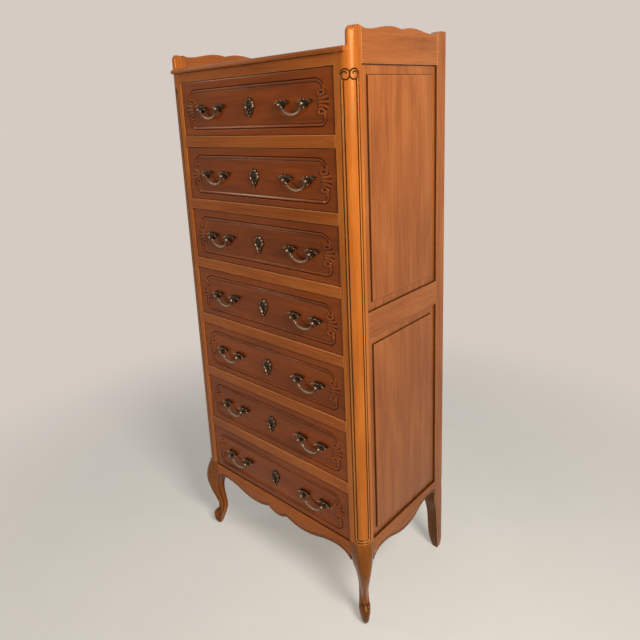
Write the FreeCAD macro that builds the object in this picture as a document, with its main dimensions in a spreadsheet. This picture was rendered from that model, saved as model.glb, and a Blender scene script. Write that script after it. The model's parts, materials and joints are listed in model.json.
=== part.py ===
"""Semainier: a tall chest of seven equal drawers on cabriole legs.

Millimetres. +Z is up, the drawers open towards -Y, X runs across the front, and the origin is on the floor
at the middle of the object's box. Heights are measured from the floor, and depths in the sizes and in the
functions below are measured from the front plane of the posts, back from it positive.
"""
import FreeCAD, Part
import math
import os
import re
import Sketcher

DRAWERS = 7
BAIL_FACETS = 8
BAIL_STEPS = 8

# Driving dimensions
SIZES = {
    # carcase
    "body_width": 632,
    "body_depth": 386,
    "lowest_opening": 242,
    "opening_height": 143,
    "rail_height": 29.5,
    "top_rail_height": 25.5,
    "top_thickness": 11.5,
    "top_overhang": 5,
    "top_nose_round": 7,
    "lip_reach": 6,
    "lip_play": 0.3,
    "gallery_rise": 43,
    "side_thickness": 20,
    "cut_spare": 5,
    # posts and their incised lines
    "post_width": 46,
    "post_depth": 39,
    "post_round": 28,
    "rear_post_width": 40,
    "rear_post_depth": 40,
    "line_radius": 1.4,
    "line_top_margin": 20,
    "ear_round": 14,
    "ear_nose": 6.5,
    # crest of the side galleries
    "crest_turn": 19,
    "crest_drop": 9,
    "crest_cusp_half": 40,
    "crest_cusp_depth": 5,
    # front leg, from the top of the leg downwards and from the floor upwards
    "leg_top_above_opening": 8,
    "swell_drop": 32,
    "swell_nose": 1.5,
    "swell_round": 24,
    "knee_drop": 68,
    "knee_inner": 42,
    "knee_edge": 2,
    "knee_nose": 9.5,
    "knee_round": 19,
    "calf_drop": 100,
    "calf_inner": 32,
    "calf_edge": 5,
    "calf_nose": 5.5,
    "calf_round": 14,
    "shin_height": 110,
    "shin_inner": 32.5,
    "shin_edge": 12,
    "shin_nose": -7.5,
    "shin_round": 9,
    "ankle_height": 72,
    "ankle_inner": 35.5,
    "ankle_edge": 16,
    "ankle_nose": -20,
    "ankle_round": 7,
    "toe_height": 34,
    "toe_inner": 29.5,
    "toe_edge": 8,
    "toe_nose": -1.5,
    "toe_round": 9,
    "sole_height": 12,
    "sole_inner": 23,
    "sole_edge": 6.5,
    "sole_nose": -5,
    "sole_round": 8,
    "foot_inner": 19,
    "foot_edge": 7,
    "foot_nose": -9.5,
    "foot_round": 6,
    # rear leg
    "rear_calf_drop": 100,
    "rear_calf_width": 37,
    "rear_calf_depth": 30,
    "rear_ankle_height": 72,
    "rear_ankle_width": 33,
    "rear_ankle_depth": 24,
    "rear_toe_height": 30,
    "rear_toe_width": 28,
    "rear_toe_depth": 22,
    "rear_foot_width": 19,
    "rear_foot_depth": 17,
    "rear_foot_taper": 4,
    # front apron, with the depths of its lower edge under the lowest opening
    "apron_thickness": 22,
    "apron_end": 56,
    "apron_arch_offset": 45,
    "apron_arch": 34,
    "apron_hump_offset": 95,
    "apron_hump": 55,
    "apron_notch_offset": 37,
    "apron_notch": 43,
    "apron_lobe": 55,
    # side frames, with the depths of the side aprons' lower edges under their tops
    "side_apron_rise": 7,
    "side_apron_end": 62,
    "side_arch_offset": 44,
    "side_arch": 40,
    "side_hump": 60,
    "side_rear_end": 42,
    "side_rear_offset": 30,
    "side_rear_arch": 27,
    "lower_panel_height": 554,
    "middle_rail_height": 63,
    "panel_recess": 6,
    "panel_thickness": 8,
    "panel_groove": 8,
    "panel_play": 0.3,
    "field_margin": 22,
    "field_raise": 4.5,
    # back
    "back_bottom": 200,
    "back_thickness": 6,
    "back_rebate": 10,
    "back_play": 0.3,
    "back_rail_height": 60,
    "back_rail_depth": 22,
    # drawer runners
    "runner_width": 22,
    "runner_thickness": 18,
    "guide_height": 32,
    "guide_play": 0.7,
    # drawers
    "front_thickness": 20,
    "front_setback": 1.8,
    "front_gap": 1,
    "box_inset": 1,
    "box_play": 0.3,
    "box_rear_gap": 26.2,
    "box_wall": 11,
    "box_height": 118,
    "bottom_thickness": 5,
    "bottom_lift": 9,
    "bottom_groove": 5,
    "bottom_play": 0.1,
    # cartouche moulding on the drawer fronts
    "cartouche_half": 245,
    "cartouche_low": 16,
    "cartouche_high": 123,
    "cartouche_round": 22,
    "quirk_width": 2.4,
    "quirk_depth": 2,
    "bead_width": 4,
    # handles
    "handle_offset": 150,
    "pivot_height": 69.5,
    "pivot_spacing": 72,
    "rosette_width": 42,
    "rosette_rise": 11,
    "rosette_shoulder": 9.5,
    "rosette_tip": 3,
    "rosette_waist": 19,
    "rosette_waist_drop": 3,
    "rosette_drop": 9,
    "rosette_neck": 11,
    "rosette_thickness": 3,
    "lug_half": 3.6,
    "bail_standoff": 14,
    "pin_radius": 1.5,
    "pin_play": 0.06,
    "bail_drop": 23.5,
    "bail_radius": 2.4,
    "bail_play": 0.8,
    "knot_radius": 3.6,
    # escutcheons
    "escutcheon_height_on_front": 68,
    "escutcheon_width": 31,
    "escutcheon_length": 47,
    "escutcheon_shoulder": 23,
    "escutcheon_waist": 19,
    "escutcheon_thickness": 3,
    "keyhole_radius": 2.2,
    "keyhole_slot": 2,
    "keyhole_drop": 8,
}

# Places that follow from the driving dimensions
DERIVED = {
    "half_width": "body_width / 2",
    "opening_half": "half_width - post_width",
    "pitch": "opening_height + rail_height",
    "top_opening": f"lowest_opening + {DRAWERS} * pitch - rail_height",
    "frame_top": "top_opening + top_rail_height",
    "board_top": "frame_top + top_thickness",
    "ear_top": "board_top + gallery_rise",
    "inner_side": "half_width - side_thickness",
    "rear_face": "body_depth - rear_post_depth",
    "middle_depth": "(post_depth + rear_face) / 2",
    "ear_nose_depth": "post_round - sqrt((post_round - ear_nose)^2 - (post_round - side_thickness + ear_nose)^2)",
    "ear_nose_edge": "half_width - post_round * (1 - (post_round - side_thickness + ear_nose) "
                     "/ (post_round - ear_nose))",
    "leg_top": "lowest_opening + leg_top_above_opening",
    "side_apron_top": "lowest_opening + side_apron_rise",
    "middle_rail_bottom": "side_apron_top + lower_panel_height",
    "middle_rail_top": "middle_rail_bottom + middle_rail_height",
    "handle_reach": "bail_standoff + lug_half - front_setback",
    "front_y": "-(body_depth - handle_reach) / 2",
    "front_half": "opening_half - front_gap",
    "box_half": "front_half - box_inset",
    "box_front": "front_setback + front_thickness",
    "box_rear": "body_depth - back_thickness - back_rail_depth - box_rear_gap",
    "pivot_y": "front_setback - bail_standoff",
    "bail_ring": "pivot_spacing / 2 - lug_half - bail_play - bail_radius",
}

doc = FreeCAD.newDocument("semainier")
sheet = doc.addObject("Spreadsheet::Sheet", "Sizes")
finished = []


def spell(text):
    """Expression text with every size name written as a cell of the sheet."""
    def cell(match):
        name = match.group()
        return "Sizes." + name if name in SIZES or name in DERIVED else name
    return re.sub(r"[a-z_]+", cell, text)


def fill_sheet():
    """Write every size into the sheet under its alias."""
    cells = {name: str(number) for name, number in SIZES.items()}
    cells.update({name: "=" + text for name, text in DERIVED.items()})
    for row, (name, content) in enumerate(cells.items(), 1):
        sheet.set(f"A{row}", name)
        sheet.set(f"B{row}", content)
        sheet.setAlias(f"B{row}", name)
    doc.recompute()


def value(text):
    """Present value of an expression, for a sketch's starting geometry."""
    return float(sheet.evalExpression(spell(text)))


def bind(thing, **texts):
    """Bind properties to expressions; a double underscore stands for a dot."""
    for name, text in texts.items():
        thing.setExpression(name.replace("__", "."), spell(text))


def place(thing, x="0", y="0", z="0"):
    """Bind a thing's place; y is a depth behind the front plane."""
    bind(thing, Placement__Base__x=x, Placement__Base__y=f"front_y + ({y})", Placement__Base__z=z)


def finish(thing, label):
    """Name a finished sub-part."""
    thing.Label = label
    finished.append(thing)


def box(name, low, high):
    """Box between two corners, each given as three expressions."""
    solid = doc.addObject("Part::Box", name)
    lengths = [f"({top}) - ({bottom})" for bottom, top in zip(low, high)]
    bind(solid, Length=lengths[0], Width=lengths[1], Height=lengths[2])
    place(solid, *low)
    return solid


AXIS_TURN = {
    "x": FreeCAD.Rotation(FreeCAD.Vector(0, 1, 0), 90),
    "front": FreeCAD.Rotation(FreeCAD.Vector(1, 0, 0), 90),
    "back": FreeCAD.Rotation(FreeCAD.Vector(1, 0, 0), -90),
    "z": FreeCAD.Rotation(),
}


def cylinder(name, axis, radius, length, x, y, z):
    """Cylinder that starts at a point and runs along +X, to the front, to the back, or along +Z."""
    solid = doc.addObject("Part::Cylinder", name)
    solid.Placement = FreeCAD.Placement(FreeCAD.Vector(), AXIS_TURN[axis])
    bind(solid, Radius=radius, Height=length)
    place(solid, x, y, z)
    return solid


def prism(name, axis, radius, length, x, y, z):
    """Faceted rod that starts at a point and runs along +X, to the front, to the back, or along +Z."""
    solid = doc.addObject("Part::Prism", name)
    solid.Polygon = BAIL_FACETS
    solid.Placement = FreeCAD.Placement(FreeCAD.Vector(), AXIS_TURN[axis])
    bind(solid, Circumradius=radius, Height=length)
    place(solid, x, y, z)
    return solid


def cut(name, base, *tools):
    """Base with each tool taken away in turn."""
    for number, tool in enumerate(tools, 1):
        result = doc.addObject("Part::Cut", f"{name}_cut_{number}")
        result.Base = base
        result.Tool = tool
        base = result
    return base


def fuse(name, *shapes):
    """Several overlapping or touching shapes as one solid."""
    result = doc.addObject("Part::MultiFuse", name)
    result.Shapes = list(shapes)
    result.Refine = True
    return result


def common(name, base, tool):
    """What two shapes share."""
    result = doc.addObject("Part::Common", name)
    result.Base = base
    result.Tool = tool
    return result


def mirrored(name, source):
    """The same piece on the other side of the object's middle."""
    result = doc.addObject("Part::Mirroring", name)
    result.Source = source
    result.Base = FreeCAD.Vector(0, 0, 0)
    result.Normal = FreeCAD.Vector(1, 0, 0)
    return result


def group(name, solids):
    """Separate solids that share a node."""
    result = doc.addObject("Part::Compound", name)
    result.Links = solids
    return result


def hold(sketch, kind, geometry, point, text):
    """Hold a point's distance from the sketch's origin to an expression."""
    index = sketch.addConstraint(Sketcher.Constraint(kind, -1, 1, geometry, point, value(text)))
    sketch.setExpression(f"Constraints[{index}]", spell(text))


def hold_radius(sketch, geometry, text):
    """Hold an arc's radius to an expression."""
    index = sketch.addConstraint(Sketcher.Constraint("Radius", geometry, value(text)))
    sketch.setExpression(f"Constraints[{index}]", spell(text))


def arc_radius(kind, start, end):
    """Radius of an arc that is level, or plumb, at one of its two ends."""
    run = f"({end[0]} - ({start[0]}))"
    rise = f"({end[1]} - ({start[1]}))"
    stand = rise if kind == "level" else run
    return f"({run}^2 + {rise}^2) / (2 * abs{stand})"


def chain(sketch, corners, closed=True):
    """Lines and arcs through corners given as (x, y, bend to the next corner).

    A bend is None for a straight line, or the arc's kind and the side of its centre: "level left" is an arc
    that is level at one end, with its centre on the left of the way along the chain.
    """
    count = len(corners) if closed else len(corners) - 1
    starts, ends = [], []
    for index in range(count):
        here, there = corners[index], corners[(index + 1) % len(corners)]
        first = FreeCAD.Vector(value(here[0]), value(here[1]), 0)
        last = FreeCAD.Vector(value(there[0]), value(there[1]), 0)
        if here[2] is None:
            number = sketch.addGeometry(Part.LineSegment(first, last), False)
            points = (1, 2)
        else:
            kind, side = here[2].split()
            text = arc_radius(kind, here, there)
            radius = value(text)
            chord = last - first
            across = FreeCAD.Vector(-chord.y, chord.x, 0).normalize()
            turn = 1 if side == "left" else -1
            depth = math.sqrt(max(radius ** 2 - chord.Length ** 2 / 4, 0))
            centre = (first + last) * 0.5 + across * (turn * depth)
            points = (1, 2) if turn > 0 else (2, 1)
            near, far = (first, last) if turn > 0 else (last, first)
            angles = [math.atan2(point.y - centre.y, point.x - centre.x) for point in (near, far)]
            circle = Part.Circle(centre, FreeCAD.Vector(0, 0, 1), radius)
            number = sketch.addGeometry(Part.ArcOfCircle(circle, angles[0], angles[1]), False)
            hold_radius(sketch, number, text)
        starts.append((number, points[0]))
        ends.append((number, points[1]))
    for index in range(count):
        if index or closed:
            sketch.addConstraint(Sketcher.Constraint("Coincident", *ends[index - 1], *starts[index]))
        hold(sketch, "DistanceX", *starts[index], corners[index][0])
        hold(sketch, "DistanceY", *starts[index], corners[index][1])
    if not closed:
        hold(sketch, "DistanceX", *ends[-1], corners[-1][0])
        hold(sketch, "DistanceY", *ends[-1], corners[-1][1])


def rounded_rectangle(half, low, high, radius):
    """Corners of a rectangle about the sketch's Y axis with rounded corners, as a chain."""
    near = f"{half} - ({radius})"
    return [
        (f"-({near})", low, None), (near, low, "level left"),
        (half, f"{low} + {radius}", None), (half, f"{high} - ({radius})", "level left"),
        (near, high, None), (f"-({near})", high, "level left"),
        (f"-({half})", f"{high} - ({radius})", None), (f"-({half})", f"{low} + {radius}", "level left"),
    ]


def origin_plane(body, role):
    """One of a body's own origin planes."""
    return next(plane for plane in body.Origin.OriginFeatures if plane.Role == role)


def body_sketch(body, name, role):
    """Empty sketch on one of a body's own origin planes."""
    sketch = body.newObject("Sketcher::SketchObject", name)
    sketch.AttachmentSupport = [(origin_plane(body, role), "")]
    sketch.MapMode = "FlatFace"
    return sketch


def padded(name, role, corners, length):
    """Body with one outline on an origin plane, padded along that plane's normal: +X from YZ, -Y from XZ."""
    body = doc.addObject("PartDesign::Body", name)
    sketch = body_sketch(body, name + "_outline", role)
    chain(sketch, corners)
    pad = body.newObject("PartDesign::Pad", name + "_pad")
    pad.Profile = sketch
    bind(pad, Length=length)
    body.Tip = pad
    return body


def corner_section(name, height, inner_x, inner_y, edge, nose, radius):
    """Cross-section of a front post or leg at the carcase's right-hand corner, as a sketch at a height.

    Two plain inner faces stand inner_x and inner_y inside the corner. The outer faces start at the two edges,
    which lie edge inside the corner's planes, and run tangent into a rounded nose that reaches out along the
    corner's diagonal.
    """
    sketch = doc.addObject("Sketcher::SketchObject", name)
    place(sketch, "half_width", "0", height)
    centre = f"({radius} - ({nose})) * sqrt(0.5)"
    points = {
        "front_edge": (f"-({inner_x})", edge),
        "side_edge": (f"-({edge})", inner_y),
        "inside": (f"-({inner_x})", inner_y),
        "centre": (f"-({centre})", centre),
    }
    spot = {key: FreeCAD.Vector(value(x), value(y), 0) for key, (x, y) in points.items()}
    reach = value(radius)
    touch = {}
    for key, side in (("front_edge", -1), ("side_edge", 1)):
        way = spot["centre"] - spot[key]
        turn = math.atan2(way.y, way.x) + side * math.asin(min(reach / way.Length, 1))
        length = math.sqrt(max(way.Length ** 2 - reach ** 2, 0))
        touch[key] = spot[key] + FreeCAD.Vector(math.cos(turn), math.sin(turn), 0) * length
    angles = [math.atan2(point.y - spot["centre"].y, point.x - spot["centre"].x) for point in touch.values()]
    circle = Part.Circle(spot["centre"], FreeCAD.Vector(0, 0, 1), reach)
    front = sketch.addGeometry(Part.LineSegment(spot["front_edge"], touch["front_edge"]), False)
    nose_arc = sketch.addGeometry(Part.ArcOfCircle(circle, *angles), False)
    side = sketch.addGeometry(Part.LineSegment(touch["side_edge"], spot["side_edge"]), False)
    rear = sketch.addGeometry(Part.LineSegment(spot["side_edge"], spot["inside"]), False)
    inner = sketch.addGeometry(Part.LineSegment(spot["inside"], spot["front_edge"]), False)
    sketch.addConstraint([
        Sketcher.Constraint("Tangent", front, 2, nose_arc, 1),
        Sketcher.Constraint("Tangent", side, 1, nose_arc, 2),
        Sketcher.Constraint("Coincident", side, 2, rear, 1),
        Sketcher.Constraint("Coincident", rear, 2, inner, 1),
        Sketcher.Constraint("Coincident", inner, 2, front, 1),
    ])
    held = [(front, 1, "front_edge"), (rear, 1, "side_edge"), (inner, 1, "inside"), (nose_arc, 3, "centre")]
    for geometry, point, key in held:
        hold(sketch, "DistanceX", geometry, point, points[key][0])
        hold(sketch, "DistanceY", geometry, point, points[key][1])
    hold_radius(sketch, nose_arc, radius)
    return sketch


def square_section(name, height, inner_x, inner_y, taper):
    """Cross-section of a rear post or leg at the right-hand rear corner: outer faces taper inside the corner."""
    sketch = doc.addObject("Sketcher::SketchObject", name)
    place(sketch, "half_width", "body_depth", height)
    sides = [(f"-({inner_x})", f"-({inner_y})"), (f"-({taper})", f"-({inner_y})"),
             (f"-({taper})", f"-({taper})"), (f"-({inner_x})", f"-({taper})")]
    chain(sketch, [(*corner, None) for corner in sides])
    return sketch


def lofted(name, sections):
    """Smooth solid through sections."""
    loft = doc.addObject("Part::Loft", name)
    loft.Sections = sections
    loft.Solid = True
    return loft


def upright(name, section, length):
    """Section drawn straight up."""
    shaft = doc.addObject("Part::Extrusion", name)
    shaft.Base = section
    shaft.DirMode = "Custom"
    shaft.Dir = FreeCAD.Vector(0, 0, 1)
    shaft.Solid = True
    bind(shaft, LengthFwd=length)
    return shaft


def square_nose(radius):
    """Reach of a nose whose faces are the corner's own planes: a plain rounded corner."""
    return f"-{radius} * (sqrt(2) - 1)"


def panel_slot(name, low, high):
    """Cutter for the groove that holds the side panels, between two (depth, height) corners."""
    return box(
        name,
        ("half_width - panel_recess - panel_thickness - panel_play", *low),
        ("half_width - panel_recess + panel_play", *high),
    )


def make_front_posts():
    """Front posts: cabriole leg, rounded and lined shaft, and the ear beside the top board."""
    section = corner_section(
        "post_section", "leg_top", "post_width", "post_depth", "0", square_nose("post_round"), "post_round")
    shaft = upright("post_shaft", section, "ear_top - leg_top")
    stations = [
        corner_section("swell", "leg_top - swell_drop", "post_width", "post_depth", "0",
                       "swell_nose", "swell_round"),
        corner_section("knee", "leg_top - knee_drop", "knee_inner", "knee_inner - post_width + post_depth",
                       "knee_edge", "knee_nose", "knee_round"),
        corner_section("calf", "leg_top - calf_drop", "calf_inner", "calf_inner",
                       "calf_edge", "calf_nose", "calf_round"),
    ]
    for name in ("shin", "ankle", "toe", "sole"):
        stations.append(corner_section(
            name, f"{name}_height", f"{name}_inner", f"{name}_inner",
            f"{name}_edge", f"{name}_nose", f"{name}_round"))
    stations.append(corner_section(
        "foot", "0", "foot_inner", "foot_inner", "foot_edge", "foot_nose", "foot_round"))
    leg = lofted("front_leg", [section] + stations)
    room = box("front_leg_room", ("opening_half", "-post_depth", "0"),
               ("half_width + post_width", "post_depth", "leg_top"))
    timber = fuse("front_timber", shaft, common("front_leg_trimmed", leg, room))
    shoulder = box("ear_shoulder", ("opening_half - cut_spare", "-cut_spare", "frame_top"),
                   ("inner_side", "post_depth + cut_spare", "ear_top + cut_spare"))
    crest = padded("ear_crest", "YZ_Plane", [
        ("post_depth - crest_turn", "ear_top", "level right"),
        ("post_depth", "ear_top - crest_drop / 2", None),
        ("post_depth + cut_spare", "ear_top - crest_drop / 2", None),
        ("post_depth + cut_spare", "ear_top + cut_spare", None),
        ("post_depth - crest_turn", "ear_top + cut_spare", None),
    ], "side_thickness + 2 * cut_spare")
    place(crest, "inner_side - cut_spare")
    corner = box("ear_corner", ("inner_side - cut_spare", "-cut_spare", "ear_top - ear_round"),
                 ("inner_side + ear_round", "post_depth + cut_spare", "ear_top + cut_spare"))
    dome = cylinder("ear_dome", "back", "ear_round", "post_depth + 4 * cut_spare",
                    "inner_side + ear_round", "-2 * cut_spare", "ear_top - ear_round")
    flank = box("ear_flank", ("inner_side - cut_spare", "-cut_spare", "board_top"),
                ("ear_nose_edge", "ear_nose_depth", "ear_top + cut_spare"))
    nose = cylinder("ear_nose_round", "z", "ear_nose", "gallery_rise + 4 * cut_spare",
                    "inner_side + ear_nose", "ear_nose_depth", "board_top - 2 * cut_spare")
    line_length = "top_opening - line_top_margin - leg_top"
    front_line = cylinder("front_line", "z", "line_radius", line_length,
                          "half_width - post_round", "0", "leg_top")
    side_line = cylinder("side_line", "z", "line_radius", line_length, "half_width", "post_round", "leg_top")
    slot = panel_slot("front_post_slot", ("post_depth - panel_groove", "side_apron_top - panel_groove"),
                      ("post_depth + cut_spare", "top_opening + panel_groove"))
    right = cut("right_front_post", timber, shoulder, crest, cut("ear_rounding", corner, dome),
                cut("ear_bullnose", flank, nose), front_line, side_line, slot)
    finish(right, "right_front_post")
    finish(mirrored("left_front_post", right), "left_front_post")


def make_rear_posts():
    """Rear posts: plain, tapering to the rear legs, rebated for the back panel."""
    section = square_section("rear_section", "leg_top", "rear_post_width", "rear_post_depth", "0")
    shaft = upright("rear_shaft", section, "ear_top - leg_top")
    leg = lofted("rear_leg", [
        section,
        square_section("rear_knee", "leg_top - knee_drop", "rear_post_width", "rear_post_depth", "0"),
        square_section("rear_calf", "leg_top - rear_calf_drop", "rear_calf_width", "rear_calf_depth", "0"),
        square_section("rear_ankle", "rear_ankle_height", "rear_ankle_width", "rear_ankle_depth", "0"),
        square_section("rear_toe", "rear_toe_height", "rear_toe_width", "rear_toe_depth", "0"),
        square_section("rear_foot", "0", "rear_foot_width", "rear_foot_depth", "rear_foot_taper"),
    ])
    room = box("rear_leg_room", ("half_width - rear_post_width", "rear_face", "0"),
               ("half_width", "body_depth", "leg_top"))
    timber = fuse("rear_timber", shaft, common("rear_leg_trimmed", leg, room))
    shoulder = box("rear_shoulder", ("half_width - rear_post_width - cut_spare", "rear_face - cut_spare",
                                     "frame_top"),
                   ("inner_side", "body_depth + cut_spare", "ear_top + cut_spare"))
    crest = padded("rear_crest", "YZ_Plane", [
        ("rear_face", "ear_top - crest_drop / 2", "level right"),
        ("rear_face + crest_turn", "ear_top", None),
        ("rear_face + crest_turn", "ear_top + cut_spare", None),
        ("rear_face - cut_spare", "ear_top + cut_spare", None),
        ("rear_face - cut_spare", "ear_top - crest_drop / 2", None),
    ], "side_thickness + 2 * cut_spare")
    place(crest, "inner_side - cut_spare")
    rebate = box("back_rebate_cutter", ("half_width - rear_post_width - cut_spare", "body_depth - back_thickness",
                                        "back_bottom"),
                 ("half_width - rear_post_width + back_rebate", "body_depth + cut_spare", "frame_top"))
    slot = panel_slot("rear_post_slot", ("rear_face - cut_spare", "side_apron_top - panel_groove"),
                      ("rear_face + panel_groove", "top_opening + panel_groove"))
    right = cut("right_rear_post", timber, shoulder, crest, rebate, slot)
    finish(right, "right_rear_post")
    finish(mirrored("left_rear_post", right), "left_rear_post")


def make_galleries():
    """Side galleries: the top rails of the side frames, with a waved crest and a cusp at mid-depth."""
    dip = ("post_depth + crest_turn", "ear_top - crest_drop")
    hump = ("middle_depth - crest_cusp_half", "ear_top")
    far_hump = ("middle_depth + crest_cusp_half", "ear_top")
    far_dip = ("rear_face - crest_turn", "ear_top - crest_drop")
    turn = f"({dip[0]} + {hump[0]}) / 2"
    far_turn = f"({far_dip[0]} + {far_hump[0]}) / 2"
    middle_height = "ear_top - crest_drop / 2"
    rail = padded("gallery_rail", "YZ_Plane", [
        ("post_depth", "top_opening", None),
        ("rear_face", "top_opening", None),
        ("rear_face", middle_height, "level right"),
        (*far_dip, "level right"),
        (far_turn, middle_height, "level left"),
        (*far_hump, "level left"),
        ("middle_depth", "ear_top - crest_cusp_depth", "level left"),
        (*hump, "level left"),
        (turn, middle_height, "level right"),
        (*dip, "level right"),
        ("post_depth", middle_height, None),
    ], "side_thickness")
    place(rail, "inner_side")
    slot = panel_slot("gallery_slot", ("post_depth - cut_spare", "top_opening - cut_spare"),
                      ("rear_face + cut_spare", "top_opening + panel_groove"))
    right = cut("right_gallery", rail, slot)
    finish(right, "right_gallery")
    finish(mirrored("left_gallery", right), "left_gallery")


def make_side_rails():
    """Middle rails and shaped aprons of the two side frames, grooved for the panels."""
    rail = box("middle_rail", ("inner_side", "post_depth", "middle_rail_bottom"),
               ("half_width", "rear_face", "middle_rail_top"))
    slots = [
        panel_slot(f"middle_rail_slot_{number}", ("post_depth - cut_spare", low), ("rear_face + cut_spare", high))
        for number, (low, high) in enumerate((
            ("middle_rail_bottom - cut_spare", "middle_rail_bottom + panel_groove"),
            ("middle_rail_top - panel_groove", "middle_rail_top + cut_spare"),
        ))
    ]
    right = cut("right_middle_rail", rail, *slots)
    finish(group("middle_rails", [right, mirrored("left_middle_rail", right)]), "side_middle_rails")

    arch, far_arch = "post_depth + side_arch_offset", "rear_face - side_rear_offset"
    apron = padded("side_apron", "YZ_Plane", [
        ("post_depth", "-side_apron_end", "level right"),
        (arch, "-side_arch", "level right"),
        (f"({arch} + middle_depth) / 2", "-(side_arch + side_hump) / 2", "level left"),
        ("middle_depth", "-side_hump", "level left"),
        (f"({far_arch} + middle_depth) / 2", "-(side_rear_arch + side_hump) / 2", "level right"),
        (far_arch, "-side_rear_arch", "level right"),
        ("rear_face", "-side_rear_end", None),
        ("rear_face", "0", None),
        ("post_depth", "0", None),
    ], "side_thickness")
    place(apron, "inner_side", "0", "side_apron_top")
    slot = panel_slot("side_apron_slot", ("post_depth - cut_spare", "side_apron_top - panel_groove"),
                      ("rear_face + cut_spare", "side_apron_top + cut_spare"))
    right_apron = cut("right_side_apron", apron, slot)
    finish(group("aprons", [right_apron, mirrored("left_side_apron", right_apron)]), "side_aprons")


def make_panels():
    """Fielded side panels, their thin edges loose in the frames' grooves."""
    ranges = {
        "upper_panel": ("middle_rail_top", "top_opening"),
        "lower_panel": ("side_apron_top", "middle_rail_bottom"),
    }
    for name, (bottom, top) in ranges.items():
        tongue = "panel_groove - panel_play"
        border = box(
            name + "_border",
            ("half_width - panel_recess - panel_thickness", f"post_depth - ({tongue})", f"{bottom} - ({tongue})"),
            ("half_width - panel_recess", f"rear_face + {tongue}", f"{top} + {tongue}"))
        field = box(
            name + "_field",
            ("half_width - panel_recess - panel_thickness", "post_depth + field_margin",
             f"{bottom} + field_margin"),
            ("half_width - panel_recess + field_raise", "rear_face - field_margin", f"{top} - field_margin"))
        right = fuse("right_" + name, border, field)
        finish(right, "right_" + name)
        finish(mirrored("left_" + name, right), "left_" + name)


def make_top():
    """Top board between the galleries, with a rounded nose that laps round the ears in two lips."""
    board = padded("board", "YZ_Plane", [
        ("-top_overhang", "0", None),
        ("body_depth", "0", None),
        ("body_depth", "top_thickness", None),
        ("top_nose_round - top_overhang", "top_thickness", "level left"),
        ("-top_overhang", "top_thickness - top_nose_round", None),
    ], "2 * (inner_side + lip_reach)")
    place(board, "-(inner_side + lip_reach)", "0", "frame_top")
    below, above = "frame_top - cut_spare", "board_top + cut_spare"
    behind = box("ear_room_behind", ("inner_side", "post_round", below),
                 ("half_width", "body_depth + cut_spare", above))
    beside = box("ear_room_beside", ("inner_side", "-cut_spare", below), ("half_width", "post_round", above))
    corner = cylinder("ear_room_corner", "z", "post_round + lip_play", "top_thickness + 2 * cut_spare",
                      "half_width - post_round", "post_round", below)
    right_room = fuse("right_ear_room", behind, common("ear_room_front", beside, corner))
    finish(cut("lipped_board", board, right_room, mirrored("left_ear_room", right_room)), "top_board")


def make_front_frame():
    """Top rail and dividers between the drawers, and the scalloped apron under them."""
    rails = [box("top_rail", ("-opening_half", "0", "top_opening"), ("opening_half", "post_depth", "frame_top"))]
    for number in range(1, DRAWERS):
        bottom = f"lowest_opening + {number} * pitch - rail_height"
        rails.append(box(f"divider_{number}", ("-opening_half", "0", bottom),
                         ("opening_half", "post_depth", f"{bottom} + rail_height")))
    finish(group("rails", rails), "front_rails")

    arch = "opening_half - apron_arch_offset"
    turn = f"({arch} + apron_hump_offset) / 2"
    level = "-(apron_arch + apron_hump) / 2"
    half = [
        ("0", "-apron_lobe", "level left"),
        ("apron_notch_offset", "-apron_notch", "level left"),
        ("apron_hump_offset", "-apron_hump", "level left"),
        (turn, level, "level right"),
        (arch, "-apron_arch", "level right"),
        ("opening_half", "-apron_end", None),
    ]
    other_half = [(f"-({here[0]})", here[1], before[2])
                  for here, before in zip(half[:0:-1], half[-2::-1])]
    apron = padded("apron", "XZ_Plane", half + [
        ("opening_half", "0", None),
        ("-opening_half", "0", None),
    ] + other_half, "apron_thickness")
    place(apron, y="apron_thickness", z="lowest_opening")
    finish(apron, "front_apron")


def make_back():
    """Thin back panel in the rear posts' rebates, on two back rails."""
    half = "half_width - rear_post_width + back_rebate - back_play"
    panel = box("back", (f"-({half})", "body_depth - back_thickness", "back_bottom + back_play"),
                (half, "body_depth", "frame_top - back_play"))
    finish(panel, "back_panel")
    rails = []
    for name, bottom in (("low", "back_bottom"), ("high", "frame_top - back_rail_height")):
        rails.append(box(
            name + "_back_rail",
            ("rear_post_width - half_width", "body_depth - back_thickness - back_rail_depth", bottom),
            ("half_width - rear_post_width", "body_depth - back_thickness", f"{bottom} + back_rail_height")))
    finish(group("rear_rails", rails), "back_rails")


def make_runners():
    """Runner with its guide at each end of each drawer, and kickers over the top drawer."""
    inner, outer, guide = "opening_half - runner_width", "inner_side", "opening_half + guide_play"
    strips = []
    for number in range(DRAWERS):
        runner = padded(f"runner_{number + 1}", "XZ_Plane", [
            (inner, "-runner_thickness", None), (outer, "-runner_thickness", None),
            (outer, "guide_height", None), (guide, "guide_height", None),
            (guide, "0", None), (inner, "0", None),
        ], "rear_face - post_depth")
        place(runner, y="rear_face", z=f"lowest_opening + {number} * pitch")
        strips.append(runner)
    strips.append(box("kicker", (inner, "post_depth", "top_opening"), (outer, "rear_face", "frame_top")))
    others = [mirrored(strip.Name + "_left", strip) for strip in strips]
    finish(group("runners", strips + others), "drawer_runners")


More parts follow.
